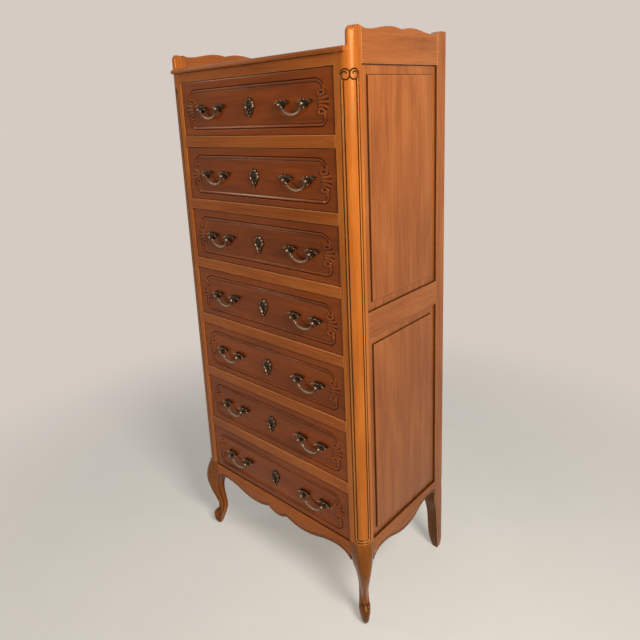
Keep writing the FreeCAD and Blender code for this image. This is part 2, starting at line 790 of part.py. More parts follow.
def make_drawer_front(label, bottom):
    """Drawer front with a bead between two quirks along its cartouche."""
    front = padded(label + "_blank", "XZ_Plane", [
        ("-front_half", "front_gap", None), ("front_half", "front_gap", None),
        ("front_half", "opening_height - front_gap", None), ("-front_half", "opening_height - front_gap", None),
    ], "front_thickness")
    place(front, y="box_front", z=bottom)
    lines = body_sketch(front, label + "_quirks", "XZ_Plane")
    bind(lines, AttachmentOffset__Base__z="front_thickness")
    for inset in ("0", "quirk_width", "(quirk_width + bead_width)", "(2 * quirk_width + bead_width)"):
        chain(lines, rounded_rectangle(
            f"(cartouche_half - {inset})", f"(cartouche_low + {inset})", f"(cartouche_high - {inset})",
            f"(cartouche_round - {inset})"))
    pocket = front.newObject("PartDesign::Pocket", label + "_pocket")
    pocket.Profile = lines
    bind(pocket, Length="quirk_depth")
    front.Tip = pocket
    finish(front, label + "_front")


def make_drawer_box(label, bottom):
    """Drawer box: two grooved sides, a back on top of the bottom board, and the bottom board."""
    floor = f"{bottom} + box_play"
    board_low = f"{floor} + bottom_lift"
    board_high = f"{board_low} + bottom_thickness"
    side = box(label + "_side", ("box_half - box_wall", "box_front", floor),
               ("box_half", "box_rear", f"{floor} + box_height"))
    groove = box(label + "_groove", ("box_half - box_wall - cut_spare", "box_front - cut_spare",
                                     f"{board_low} - bottom_play"),
                 ("box_half - box_wall + bottom_groove", "box_rear + cut_spare", f"{board_high} + bottom_play"))
    right = cut(label + "_right_side", side, groove)
    left = mirrored(label + "_left_side", right)
    board_half = "box_half - box_wall + bottom_groove - bottom_play"
    board = box(label + "_bottom", (f"-({board_half})", "box_front", board_low),
                (board_half, "box_rear", board_high))
    back = box(label + "_back", ("box_wall - box_half", "box_rear - box_wall", board_high),
               ("box_half - box_wall", "box_rear", f"{floor} + box_height"))
    finish(group(label + "_carcase", [right, left, back, board]), label + "_box")


def both_halves(half):
    """Straight-sided outline from its right half, given from the lowest point on the middle line upwards."""
    right = [(x, z, None) for x, z in half]
    return right + [(f"-({x})", z, None) for x, z in half[::-1] if x != "0"]


def make_rosette(name, centre, pivot):
    """Leaf rosette: a fan-shaped plate, and a lug that is cross-drilled for the bail's pin."""
    plate = padded(name + "_plate", "XZ_Plane", both_halves([
        ("rosette_neck / 2", "-rosette_drop"),
        ("rosette_waist / 2", "-rosette_waist_drop"),
        ("rosette_width / 2", "rosette_tip"),
        ("rosette_width / 3", "rosette_shoulder"),
        ("0", "rosette_rise"),
    ]), "rosette_thickness")
    place(plate, centre, "front_setback", pivot)
    lug = box(name + "_lug", (f"{centre} - lug_half", "pivot_y - lug_half", f"{pivot} - lug_half"),
              (f"{centre} + lug_half", "front_setback", f"{pivot} + lug_half"))
    hole = cylinder(name + "_hole", "x", "pin_radius + pin_play", "4 * lug_half",
                    f"{centre} - 2 * lug_half", "pivot_y", pivot)
    return cut(name, fuse(name + "_blank", plate, lug), hole)


def make_bail(name, centre, pivot):
    """Swinging bail: a faceted half oval that thickens to a knot, on two pins in the rosettes' lugs."""
    sections = []

    def section(turn, rise, radius):
        shape = doc.addObject("Part::RegularPolygon", f"{name}_section_{len(sections)}")
        shape.Polygon = BAIL_FACETS
        shape.Placement.Rotation = FreeCAD.Rotation(FreeCAD.Vector(0, -1, 0), turn)
        bind(shape, Circumradius=radius)
        place(shape, f"{centre} - bail_ring * cos({turn} deg)", "pivot_y",
              f"{pivot} - bail_drop * sin({turn} deg) + {rise}")
        sections.append(shape)

    section(0, "bail_radius", "bail_radius")
    for step in range(BAIL_STEPS + 1):
        radius = "knot_radius" if 2 * step == BAIL_STEPS else "bail_radius"
        section(180 * step / BAIL_STEPS, "0", radius)
    section(180, "bail_radius", "bail_radius")
    ring = lofted(name + "_ring", sections)
    ring.Ruled = True
    pin_length = "pivot_spacing / 2 + lug_half - bail_ring"
    pins = [
        prism(f"{name}_{side}_pin", "x", "pin_radius", pin_length, start, "pivot_y", pivot)
        for side, start in (("left", f"{centre} - bail_ring - ({pin_length})"), ("right", f"{centre} + bail_ring"))
    ]
    finish(fuse(name + "_bail", ring, *pins), name)


def make_escutcheon(label, bottom):
    """Escutcheon: a shield-shaped plate, pointed below, with a keyhole."""
    height = f"{bottom} + escutcheon_height_on_front"
    plate = padded(label + "_plate", "XZ_Plane", both_halves([
        ("0", "-escutcheon_length / 2"),
        ("escutcheon_waist / 2", "-escutcheon_length / 3"),
        ("escutcheon_width / 2", "0"),
        ("escutcheon_width / 2", "escutcheon_length / 5"),
        ("escutcheon_shoulder / 2", "escutcheon_length * 2 / 5"),
        ("0", "escutcheon_length / 2"),
    ]), "escutcheon_thickness")
    place(plate, "0", "front_setback", height)
    through = "escutcheon_thickness + 2 * cut_spare"
    eye = prism(label + "_eye", "front", "keyhole_radius", through, "0", "front_setback + cut_spare", height)
    slot = box(label + "_slot",
               ("-keyhole_slot / 2", "front_setback - escutcheon_thickness - cut_spare", f"{height} - keyhole_drop"),
               ("keyhole_slot / 2", "front_setback + cut_spare", height))
    finish(cut(label + "_escutcheon_plate", plate, eye, slot), label + "_escutcheon")


def make_drawers():
    """Seven drawers with their handles, numbered from the top."""
    for number in range(1, DRAWERS + 1):
        label = f"drawer_{number}"
        bottom = f"lowest_opening + {DRAWERS - number} * pitch"
        pivot = f"{bottom} + pivot_height"
        make_drawer_front(label, bottom)
        make_drawer_box(label, bottom)
        rosettes = []
        for side, handle in (("left", "-handle_offset"), ("right", "handle_offset")):
            for end, shift in (("a", "- pivot_spacing / 2"), ("b", "+ pivot_spacing / 2")):
                rosettes.append(make_rosette(f"{label}_{side}_rosette_{end}", f"{handle} {shift}", pivot))
            make_bail(f"{label}_{side}_bail", handle, pivot)
        finish(group(label + "_leaves", rosettes), label + "_rosettes")
        make_escutcheon(label, bottom)


def write_parts():
    """Check every object and write each sub-part to its own file."""
    doc.recompute()
    for thing in doc.Objects:
        if "Invalid" in thing.State or "Error" in thing.State:
            raise RuntimeError(f"{thing.Label} failed: {thing.State}")
    for thing in finished:
        if thing.Shape.isNull() or not thing.Shape.isValid():
            raise RuntimeError(f"{thing.Label} has no valid shape")
    os.makedirs("parts", exist_ok=True)
    for thing in finished:
        thing.Shape.exportStep(f"parts/{thing.Label}.step")


fill_sheet()
make_front_posts()
make_rear_posts()
make_galleries()
make_side_rails()
make_panels()
make_top()
make_front_frame()
make_back()
make_runners()
make_drawers()
write_parts()
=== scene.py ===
"""Looks of a tall seven-drawer chest in varnished cherry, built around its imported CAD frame.

Metres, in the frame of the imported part: +Z is up, the drawers open towards -Y, and X runs across the front.
"""
import json
import logging
import math
from dataclasses import dataclass, field
from enum import Enum
from typing import Sequence

import bmesh
import bpy
import numpy as np
from mathutils import Matrix, Vector

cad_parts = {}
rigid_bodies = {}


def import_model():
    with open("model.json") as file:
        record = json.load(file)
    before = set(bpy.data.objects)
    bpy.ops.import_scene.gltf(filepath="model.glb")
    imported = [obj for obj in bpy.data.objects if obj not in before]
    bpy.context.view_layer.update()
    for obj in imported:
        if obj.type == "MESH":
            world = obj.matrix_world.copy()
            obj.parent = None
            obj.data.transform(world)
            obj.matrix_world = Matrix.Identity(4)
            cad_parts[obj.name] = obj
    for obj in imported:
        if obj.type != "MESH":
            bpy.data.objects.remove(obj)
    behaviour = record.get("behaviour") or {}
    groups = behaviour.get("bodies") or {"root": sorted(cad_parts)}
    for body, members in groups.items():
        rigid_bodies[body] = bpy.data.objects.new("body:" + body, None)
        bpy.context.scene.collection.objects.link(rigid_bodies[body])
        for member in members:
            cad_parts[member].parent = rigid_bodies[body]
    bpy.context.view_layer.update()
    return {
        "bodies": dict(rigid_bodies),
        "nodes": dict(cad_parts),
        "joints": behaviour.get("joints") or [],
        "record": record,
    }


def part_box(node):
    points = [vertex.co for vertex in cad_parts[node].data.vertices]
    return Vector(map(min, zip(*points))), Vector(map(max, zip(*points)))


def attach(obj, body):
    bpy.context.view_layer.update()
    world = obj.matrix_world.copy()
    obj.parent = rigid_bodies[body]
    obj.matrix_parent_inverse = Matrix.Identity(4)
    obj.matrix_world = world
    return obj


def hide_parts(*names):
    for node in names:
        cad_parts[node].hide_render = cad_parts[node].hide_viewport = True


LOG = logging.getLogger("chest")
MM = 0.001
DRAWERS = 7
LINES_AT_ONCE = 32
Colour = tuple[float, float, float]


class Grain(Enum):
    """Way that the wood's fibres run."""

    ACROSS = "x"
    DEPTH = "y"
    UPRIGHT = "z"


Finishes = dict[Grain, bpy.types.Material]


class Side(Enum):
    """Hand of a paired piece, seen from the front."""

    LEFT = -1
    RIGHT = 1

    @property
    def word(self) -> str:
        """Name of the hand as the nodes spell it."""
        return self.name.lower()


class NodeTree:
    """Small wrapper that adds and links shader nodes."""

    def __init__(self, name: str) -> None:
        """Start an empty material.

        Args:
            name: Name of the material.
        """
        self.material = bpy.data.materials.new(name)
        self.material.use_nodes = True
        self.nodes = self.material.node_tree.nodes
        self.links = self.material.node_tree.links
        self.nodes.clear()
        self.shader = self.add("ShaderNodeBsdfPrincipled")
        self.output = self.add("ShaderNodeOutputMaterial")
        self.join(self.shader, "BSDF", self.output, "Surface")

    def add(self, kind: str, **settings: object) -> bpy.types.Node:
        """Add a node and set its properties.

        Args:
            kind: Blender's name of the node type.
            settings: Properties of the node.

        Returns:
            The new node.
        """
        node = self.nodes.new(kind)
        for key, setting in settings.items():
            setattr(node, key, setting)
        return node

    def join(self, source: bpy.types.Node, output: str | int, target: bpy.types.Node,
             socket: str | int) -> None:
        """Link a node's output to another node's input."""
        self.links.new(source.outputs[output], target.inputs[socket])

    def noise(self, vector: bpy.types.Node, scale: float, detail: float, roughness: float = 0.5,
              distortion: float = 0.0) -> bpy.types.Node:
        """Add a noise texture that reads a vector node.

        Args:
            vector: Node whose first output gives the place.
            scale: Scale of the noise.
            detail: Octaves of the noise.
            roughness: Strength of the finer octaves.
            distortion: How far the noise bends itself.

        Returns:
            The noise node.
        """
        node = self.add("ShaderNodeTexNoise")
        for name, number in (("Scale", scale), ("Detail", detail), ("Roughness", roughness),
                             ("Distortion", distortion)):
            node.inputs[name].default_value = number
        self.join(vector, 0, node, "Vector")
        return node

    def ramp(self, source: bpy.types.Node, output: str | int,
             stops: Sequence[tuple[float, Colour]]) -> bpy.types.Node:
        """Add a colour ramp.

        Args:
            source: Node that drives the ramp.
            output: The driving output.
            stops: Place and colour of each stop.

        Returns:
            The ramp node.
        """
        node = self.add("ShaderNodeValToRGB")
        elements = node.color_ramp.elements
        while len(elements) < len(stops):
            elements.new(0.5)
        for element, (place, colour) in zip(elements, stops):
            element.position = place
            element.color = (*colour, 1.0)
        self.join(source, output, node, 0)
        return node

    def mix(self, kind: str, amount: float | bpy.types.Node, first: bpy.types.Node,
            second: bpy.types.Node | Colour) -> bpy.types.Node:
        """Mix two colours.

        Args:
            kind: Blend type, such as MIX or MULTIPLY.
            amount: Share of the second colour, or a node whose first output gives it.
            first: Node that gives the first colour.
            second: Node or plain colour.

        Returns:
            The mix node, whose colour is the output named Result.
        """
        node = self.add("ShaderNodeMix", data_type="RGBA", blend_type=kind)
        if isinstance(amount, bpy.types.Node):
            self.join(amount, 0, node, 0)
        else:
            node.inputs[0].default_value = amount
        self.links.new(self.colour_of(first), node.inputs[6])
        if isinstance(second, bpy.types.Node):
            self.links.new(self.colour_of(second), node.inputs[7])
        else:
            node.inputs[7].default_value = (*second, 1.0)
        return node

    @staticmethod
    def colour_of(node: bpy.types.Node) -> bpy.types.NodeSocket:
        """Colour output of a mix node, or the first output of any other."""
        return node.outputs[2] if node.bl_idname == "ShaderNodeMix" else node.outputs[0]

    def span(self, source: bpy.types.Node, output: str | int, low: float,
             high: float) -> bpy.types.Node:
        """Map an output from 0..1 to a range of numbers.

        Args:
            source: Node that is mapped.
            output: Its output.
            low: Number for 0.
            high: Number for 1.

        Returns:
            The map node.
        """
        node = self.add("ShaderNodeMapRange")
        node.inputs["To Min"].default_value = low
        node.inputs["To Max"].default_value = high
        self.join(source, output, node, 0)
        return node

    def along_grain(self, source: bpy.types.Node, output: str | int, grain: Grain,
                    share: float) -> bpy.types.Node:
        """Coordinates that are squeezed along the grain, so that noise draws out into streaks.

        Args:
            source: Node that gives the place.
            output: Its output.
            grain: Way that the fibres run.
            share: Scale along the grain, against 1 across it.

        Returns:
            The mapping node.
        """
        node = self.add("ShaderNodeMapping")
        node.inputs["Scale"].default_value = tuple(share if axis == grain.value else 1.0 for axis in "xyz")
        self.join(source, output, node, "Vector")
        return node

    def bump(self, source: bpy.types.Node, output: str | int, strength: float, distance: float) -> None:
        """Bump the shader's normal by an output.

        Args:
            source: Node that gives the height.
            output: Its output.
            strength: Share of the bump.
            distance: Height of the bump.
        """
        node = self.add("ShaderNodeBump")
        node.inputs["Strength"].default_value = strength
        node.inputs["Distance"].default_value = distance
        self.join(source, output, node, "Height")
        self.join(node, 0, self.shader, "Normal")


@dataclass(frozen=True)
class CherryFinish:
    """Varnished cherry: broad figure, streaks, pores, painted shade in what is carved and on shaded faces,
    and edges paler with painted highlight and wear.
    """

    name: str
    grain: Grain
    light: Colour = (0.52, 0.176, 0.046)
    middle: Colour = (0.395, 0.118, 0.028)
    dark: Colour = (0.255, 0.066, 0.014)
    # Colour of the painted shade.
    glaze: Colour = (0.020, 0.0065, 0.0025)
    # Rubbed tone: wear on dings and edges, and painted highlight on crests.
    rubbed: Colour = (0.68, 0.34, 0.125)
    gloss: float = 0.24
    sheen: Colour = (1.0, 0.60, 0.28)
    shine: float = 0.4
    board_shift: tuple[float, float, float] = (3.1, 4.7, 2.3)
    figure_scale: float = 20.0
    figure_stretch: float = 0.14
    figure_share: float = 0.58
    streak_scale: float = 150.0
    streak_stretch: float = 0.045
    pore_scale: float = 1100.0
    pore_stretch: float = 0.02
    pore_shade: Colour = (0.62, 0.55, 0.5)
    pore_share: float = 0.5
    pore_depth: float = 0.4 * MM
    cloud_scale: float = 3.5
    cloud_shades: tuple[Colour, Colour] = ((0.80, 0.76, 0.74), (1.1, 1.12, 1.14))
    cloud_share: float = 0.7
    speck_scale: float = 230.0
    speck_share: Colour = (0.4, 0.4, 0.4)

    def material(self) -> bpy.types.Material:
        """Build the node material.

        Returns:
            The material.
        """
        tree = NodeTree(self.name)
        place = tree.add("ShaderNodeTexCoord")
        info = tree.add("ShaderNodeObjectInfo")
        shift = tree.add("ShaderNodeVectorMath", operation="MULTIPLY_ADD")
        tree.join(info, "Random", shift, 0)
        shift.inputs[1].default_value = self.board_shift
        tree.join(place, "Object", shift, 2)
        along = tree.along_grain(shift, 0, self.grain, self.figure_stretch)
        figure = tree.noise(along, self.figure_scale, detail=3.0, distortion=0.8)
        along = tree.along_grain(shift, 0, self.grain, self.streak_stretch)
        streaks = tree.noise(along, self.streak_scale, detail=6.0, roughness=0.62, distortion=0.25)
        along = tree.along_grain(shift, 0, self.grain, self.pore_stretch)
        pores = tree.noise(along, self.pore_scale, detail=2.0, roughness=0.6)
        clouds = tree.noise(shift, self.cloud_scale, detail=2.0)
        specks = tree.noise(shift, self.speck_scale, detail=2.0)
        wood = tree.ramp(streaks, 0, [(0.28, self.dark), (0.5, self.middle), (0.74, self.light)])
        broad = tree.ramp(figure, 0, [(0.3, self.dark), (0.5, self.middle), (0.72, self.light)])
        tone = tree.mix("MIX", self.figure_share, wood, broad)
        pore_shade = tree.ramp(pores, 0, [(0.30, self.pore_shade), (0.46, (1.0, 1.0, 1.0))])
        tone = tree.mix("MULTIPLY", self.pore_share, tone, pore_shade)
        cloud_shade = tree.ramp(clouds, 0, list(zip((0.3, 0.7), self.cloud_shades)))
        tone = tree.mix("MULTIPLY", self.cloud_share, tone, cloud_shade)
        speck_share = tree.ramp(specks, 0, [(0.74, (0, 0, 0)), (0.77, self.speck_share)])
        tone = tree.mix("MIX", speck_share, tone, self.rubbed)
        # The point attribute holds painted light and wear: above zero it darkens the wood towards the
        # painted-shade colour, below zero it pales it towards the rubbed tone as painted highlight and wear.
        carved = tree.add("ShaderNodeAttribute", attribute_name="glaze")
        painted_shade_share = tree.add("ShaderNodeMath", operation="MULTIPLY", use_clamp=True)
        tree.join(carved, "Fac", painted_shade_share, 0)
        painted_shade_share.inputs[1].default_value = 0.94
        highlight_and_wear_share = tree.add("ShaderNodeMath", operation="MULTIPLY", use_clamp=True)
        tree.join(carved, "Fac", highlight_and_wear_share, 0)
        tree.join(tree.span(streaks, 0, -0.2, -1.5), 0, highlight_and_wear_share, 1)
        tone = tree.mix("MIX", highlight_and_wear_share, tone, self.rubbed)
        tone = tree.mix("MIX", painted_shade_share, tone, self.glaze)
        tree.join(tone, 2, tree.shader, "Base Color")
        sheen = tree.span(streaks, 0, self.gloss - 0.06, self.gloss + 0.14)
        tree.join(sheen, 0, tree.shader, "Roughness")
        tree.shader.inputs["Specular IOR Level"].default_value = self.shine
        tree.shader.inputs["Specular Tint"].default_value = (*self.sheen, 1.0)
        tree.bump(pores, 0, 0.10, self.pore_depth)
        return tree.material


@dataclass(frozen=True)
class PlainWoodFinish:
    """Planed, unvarnished wood inside the carcase and the drawers."""

    name: str
    grain: Grain
    light: Colour = (0.58, 0.345, 0.160)
    dark: Colour = (0.38, 0.200, 0.080)
    ring_shade: Colour = (0.7, 0.64, 0.58)
    stretch: float = 0.05
    streak_scale: float = 120.0
    ring_scale: float = 26.0
    plane_marks: float = 0.5 * MM

    def material(self) -> bpy.types.Material:
        """Build the node material.

        Returns:
            The material.
        """
        tree = NodeTree(self.name)
        place = tree.add("ShaderNodeTexCoord")
        along = tree.along_grain(place, "Object", self.grain, self.stretch)
        streaks = tree.noise(along, self.streak_scale, detail=5.0, roughness=0.6, distortion=0.3)
        rings = tree.noise(along, self.ring_scale, detail=3.0, distortion=0.8)
        tone = tree.ramp(streaks, 0, [(0.3, self.dark), (0.7, self.light)])
        ring_shade = tree.ramp(rings, 0, [(0.35, self.ring_shade), (0.6, (1, 1, 1))])
        tone = tree.mix("MULTIPLY", 0.6, tone, ring_shade)
        tree.join(tone, 2, tree.shader, "Base Color")
        tree.join(tree.span(streaks, 0, 0.55, 0.75), 0, tree.shader, "Roughness")
        tree.bump(streaks, 0, 0.15, self.plane_marks)
        return tree.material


@dataclass(frozen=True)
class BronzeFinish:
    """Aged bronze: dark in the hollows, rubbed to pale metal on what stands proud."""

    name: str = "aged_bronze"
    deep: Colour = (0.012, 0.008, 0.006)
    body: Colour = (0.085, 0.052, 0.028)
    rubbed: Colour = (0.74, 0.52, 0.32)
    spot_scale: float = 420.0
    metal: float = 0.85
    pitting: float = 0.4 * MM

    def material(self) -> bpy.types.Material:
        """Build the node material.

        Returns:
            The material.
        """
        tree = NodeTree(self.name)
        place = tree.add("ShaderNodeTexCoord")
        coarse = tree.add("ShaderNodeMapping")
        tree.join(place, "Object", coarse, "Vector")
        spots = tree.noise(coarse, self.spot_scale, detail=5.0, roughness=0.65, distortion=0.4)
        patina = tree.ramp(spots, 0, [(0.3, self.deep), (0.66, self.body)])
        wear = tree.add("ShaderNodeAttribute", attribute_name="wear")
        worn = tree.add("ShaderNodeMath", operation="MULTIPLY", use_clamp=True)
        tree.join(wear, "Fac", worn, 0)
        tree.join(tree.span(spots, 0, 0.35, 1.25), 0, worn, 1)
        tone = tree.mix("MIX", worn, patina, self.rubbed)
        tree.join(tone, 2, tree.shader, "Base Color")
        tree.shader.inputs["Metallic"].default_value = self.metal
        tree.join(tree.span(spots, 0, 0.16, 0.36), 0, tree.shader, "Roughness")
        tree.bump(spots, 0, 0.2, self.pitting)
        return tree.material


@dataclass(frozen=True)
class KeyholeFinish:
    """Painted shadow that stands for the dark inside of a keyhole."""

    name: str = "keyhole_dark"
    deep: Colour = (0.004, 0.003, 0.002)
    dusty: Colour = (0.016, 0.011, 0.008)
    dust_scale: float = 900.0

    def material(self) -> bpy.types.Material:
        """Build the node material.

        Returns:
            The material.
        """
        tree = NodeTree(self.name)
        place = tree.add("ShaderNodeTexCoord")
        mottle = tree.noise(place, self.dust_scale, detail=3.0)
        # Painted shadow, slightly mottled.
        tone = tree.ramp(mottle, 0, [(0.3, self.deep), (0.8, self.dusty)])
        tree.join(tone, 0, tree.shader, "Base Color")
        tree.shader.inputs["Roughness"].default_value = 0.85
        return tree.material


def seen_rays(nodes: bpy.types.Nodes, links: bpy.types.NodeLinks) -> bpy.types.Node:
    """Node that is 1 for rays that show a surface: from the camera, mirrored or sent through.

    Args:
        nodes: Nodes of the floor's material or of the world.
        links: Their links.

    Returns:
        The node, whose first output is the switch.
    """
    path = nodes.new("ShaderNodeLightPath")
    found = path.outputs["Is Camera Ray"]
    for kind in ("Is Glossy Ray", "Is Transmission Ray"):
        node = nodes.new("ShaderNodeMath")
        node.operation = "MAXIMUM"
        links.new(found, node.inputs[0])
        links.new(path.outputs[kind], node.inputs[1])
        found = node.outputs[0]
    return node


@dataclass(frozen=True)
class FloorFinish:
    """Plain pale floor that takes the chest's shadow and runs out into the backdrop's colour."""

    name: str = "pale_floor"
    seen: Colour = (0.30, 0.292, 0.265)
    backdrop: Colour = (0.665, 0.597, 0.546)
    shades: tuple[Colour, Colour] = ((0.64, 0.625, 0.59), (0.69, 0.675, 0.64))
    cloud_scale: float = 2.5
    plain_from: float = 0.7
    plain_to: float = 1.9

    def material(self) -> bpy.types.Material:
        """Build the node material.

        Returns:
            The material.
        """
        tree = NodeTree(self.name)
        place = tree.add("ShaderNodeTexCoord")
        spread = tree.add("ShaderNodeMapping")
        tree.join(place, "Object", spread, "Vector")
        clouds = tree.noise(spread, self.cloud_scale, detail=5.0, roughness=0.6)
        tone = tree.ramp(clouds, 0, list(zip((0.3, 0.7), self.shades)))
        tree.join(tone, 0, tree.shader, "Base Color")
        tree.shader.inputs["Roughness"].default_value = 0.8
        tree.shader.inputs["Emission Color"].default_value = (*self.seen, 1.0)
        seen = seen_rays(tree.nodes, tree.links)
        tree.join(seen, 0, tree.shader, "Emission Strength")
        away = tree.add("ShaderNodeVectorMath", operation="LENGTH")
        tree.join(place, "Object", away, 0)
        far = tree.add("ShaderNodeMapRange", interpolation_type="SMOOTHSTEP")
        far.inputs["From Min"].default_value = self.plain_from
        far.inputs["From Max"].default_value = self.plain_to
        tree.join(away, "Value", far, 0)
        share = tree.add("ShaderNodeMath", operation="MULTIPLY")
        tree.join(far, 0, share, 0)
        tree.join(seen, 0, share, 1)
        plain = tree.add("ShaderNodeEmission")
        plain.inputs["Color"].default_value = (*self.backdrop, 1.0)
        mix = tree.add("ShaderNodeMixShader")
        tree.join(share, 0, mix, 0)
        tree.join(tree.shader, "BSDF", mix, 1)
        tree.join(plain, 0, mix, 2)
        tree.join(mix, 0, tree.output, "Surface")
        return tree.material


@dataclass
class Palette:
    """Every finish on the object, made once."""

    cherry: Finishes = field(default_factory=dict)
    plain: Finishes = field(default_factory=dict)

    def __post_init__(self) -> None:
        """Build the materials."""
        for grain in Grain:
            self.cherry[grain] = CherryFinish(f"cherry_{grain.name.lower()}", grain).material()
            self.plain[grain] = PlainWoodFinish(f"planed_{grain.name.lower()}", grain).material()
        # The posts' paler tone is partly the wood's own and partly painted light for the lit corner.
        self.post = CherryFinish(
            "cherry_post", Grain.UPRIGHT, light=(0.72, 0.225, 0.036), middle=(0.57, 0.157, 0.021),
            dark=(0.37, 0.090, 0.011), rubbed=(0.86, 0.36, 0.08), shine=0.45).material()
        self.rail = CherryFinish(
            "cherry_front_rail", Grain.ACROSS, light=(0.62, 0.175, 0.032), middle=(0.48, 0.122, 0.018),
            dark=(0.31, 0.070, 0.010)).material()
        # The drawers' darker tone is partly the wood's own and partly painted shade.
        self.drawer = CherryFinish(
            "cherry_drawer", Grain.ACROSS, light=(0.42, 0.088, 0.0105), middle=(0.305, 0.056, 0.0055),
            dark=(0.172, 0.028, 0.003), rubbed=(0.62, 0.21, 0.045), gloss=0.16, shine=0.45).material()
        self.bronze = BronzeFinish().material()
        self.keyhole = KeyholeFinish().material()


class Shell:
    """Points and faces of one mesh, gathered part by part."""

    def __init__(self) -> None:
        """Start with no points."""
        self.points: list[np.ndarray] = []
        self.faces: list[tuple[int, ...]] = []
        self.slots: list[int] = []
        self.tints: list[np.ndarray] = []
        self.count = 0

    def add_points(self, points: np.ndarray, tint: np.ndarray | float = 0.0) -> int:
        """Add points with their tints: painted light and wear on wood, wear on bronze.

        Args:
            points: Array of shape (n, 3).
            tint: One number for all, or one for each point.

        Returns:
            Index of the first new point.
        """
        start = self.count
        points = np.asarray(points, float).reshape(-1, 3)
        self.points.append(points)
        self.tints.append(np.broadcast_to(np.asarray(tint, float).ravel(), (len(points),)))
        self.count += len(points)
        return start

    def add_faces(self, faces: Sequence[tuple[int, ...]], slot: int = 0) -> None:
        """Add faces by point index, in one material slot."""
        self.faces.extend(faces)
        self.slots.extend([slot] * len(faces))

    def lattice(self, grid: np.ndarray, tint: np.ndarray | float = 0.0, wrap: bool = False,
                flip: bool = False) -> np.ndarray:
        """Add a grid of quads.

        Args:
            grid: Array of shape (rows, columns, 3).
            tint: Painted light and wear on wood, or wear on bronze, for each point.
            wrap: Whether the last column joins the first.
            flip: Whether to turn the faces over.

        Returns:
            Point indices, of shape (rows, columns).
        """
        rows, columns = grid.shape[:2]
        index = self.add_points(grid, tint) + np.arange(rows * columns).reshape(rows, columns)
        after = np.roll(index, -1, axis=1) if wrap else index[:, 1:]
        before = index if wrap else index[:, :-1]
        quads = np.stack([before[:-1], after[:-1], after[1:], before[1:]], axis=-1).reshape(-1, 4)
        if flip:
            quads = quads[:, ::-1]
        self.add_faces([tuple(quad) for quad in quads.tolist()])
        return index

    def close_back(self, index: np.ndarray, axis: int, place: float, flip: bool,
                   tint: float = 0.0) -> None:
        """Close a grid with walls and a flat back.

        Args:
            index: Point indices of the grid.
            axis: Axis that the back lies across.
            place: Place of the back on that axis.
            flip: Whether the grid's faces are turned over.
            tint: Painted light and wear of the back's edge.
        """
        around = np.concatenate([index[0, :-1], index[:-1, -1], index[-1, :0:-1], index[:0:-1, 0]])
        border = np.concatenate(self.points)[around]
        border[:, axis] = place
        back = self.add_points(border, tint) + np.arange(len(around))
        walls = np.stack([around, back, np.roll(back, -1), np.roll(around, -1)], axis=1)
        self.add_faces([tuple(quad[::-1] if flip else quad) for quad in walls.tolist()])
        self.add_faces([tuple(back.tolist() if flip else back[::-1].tolist())])

    def tube(self, path: np.ndarray, radii: np.ndarray, sides: int, tint: np.ndarray | float = 0.0,
             up: Sequence[float] = (0, 1, 0)) -> None:
        """Add a closed round tube along a path that lies in the plane across the given direction.

        Args:
            path: Points of shape (n, 3).
            radii: Radius at each point.
            sides: Points round the tube.
            tint: Painted light and wear on wood, or wear on bronze, of each ring, or of all.
            up: Direction that is square to the path everywhere.
        """
        ways = np.gradient(path, axis=0)
        ways /= np.linalg.norm(ways, axis=1, keepdims=True)
        first = np.broadcast_to(np.asarray(up, float), path.shape)
        second = np.cross(ways, first)
        turns = np.arange(sides) * 2 * math.pi / sides
        ring = (np.cos(turns)[None, :, None] * first[:, None]
                + np.sin(turns)[None, :, None] * second[:, None])
        grid = path[:, None] + radii[:, None, None] * ring
        spread = np.asarray(tint, float)
        if spread.ndim:
            spread = np.repeat(spread, sides)
        index = self.lattice(grid, spread, wrap=True)
        self.add_faces([tuple(index[0].tolist()), tuple(index[-1][::-1].tolist())])

    def piece(self, name: str, materials: Sequence[bpy.types.Material], tint: str = "glaze",
              sharp: float = 38.0) -> bpy.types.Object:
        """Make the object.

        Args:
            name: Name of the piece.
            materials: One material for each slot.
            tint: Name of the point attribute that holds the tints.
            sharp: Angle in degrees above which an edge stays sharp.

        Returns:
            The new object, linked to the scene.
        """
        mesh = bpy.data.meshes.new(name)
        mesh.from_pydata(np.concatenate(self.points).tolist(), [], self.faces)
        mesh.polygons.foreach_set("material_index", self.slots)
        layer = mesh.attributes.new(tint, "FLOAT", "POINT")
        layer.data.foreach_set("value", np.concatenate(self.tints))
        for material in materials:
            mesh.materials.append(material)
        mesh.validate()
        mesh.shade_smooth()
        mesh.set_sharp_from_angle(angle=math.radians(sharp))
        thing = bpy.data.objects.new(name, mesh)
        bpy.context.scene.collection.objects.link(thing)
        return thing


def smooth_step(low: float, high: float, numbers: np.ndarray) -> np.ndarray:
    """Ramp that rises smoothly from 0 at low to 1 at high."""
    share = np.clip((numbers - low) / (high - low), 0.0, 1.0)
    return share * share * (3.0 - 2.0 * share)


def swell(places: np.ndarray | float, height: float, middle: float, half: float,
          power: int = 2) -> np.ndarray:
    """Smooth swelling of a given height round a middle place."""
    return height * np.exp(-((places - middle) / half) ** power)


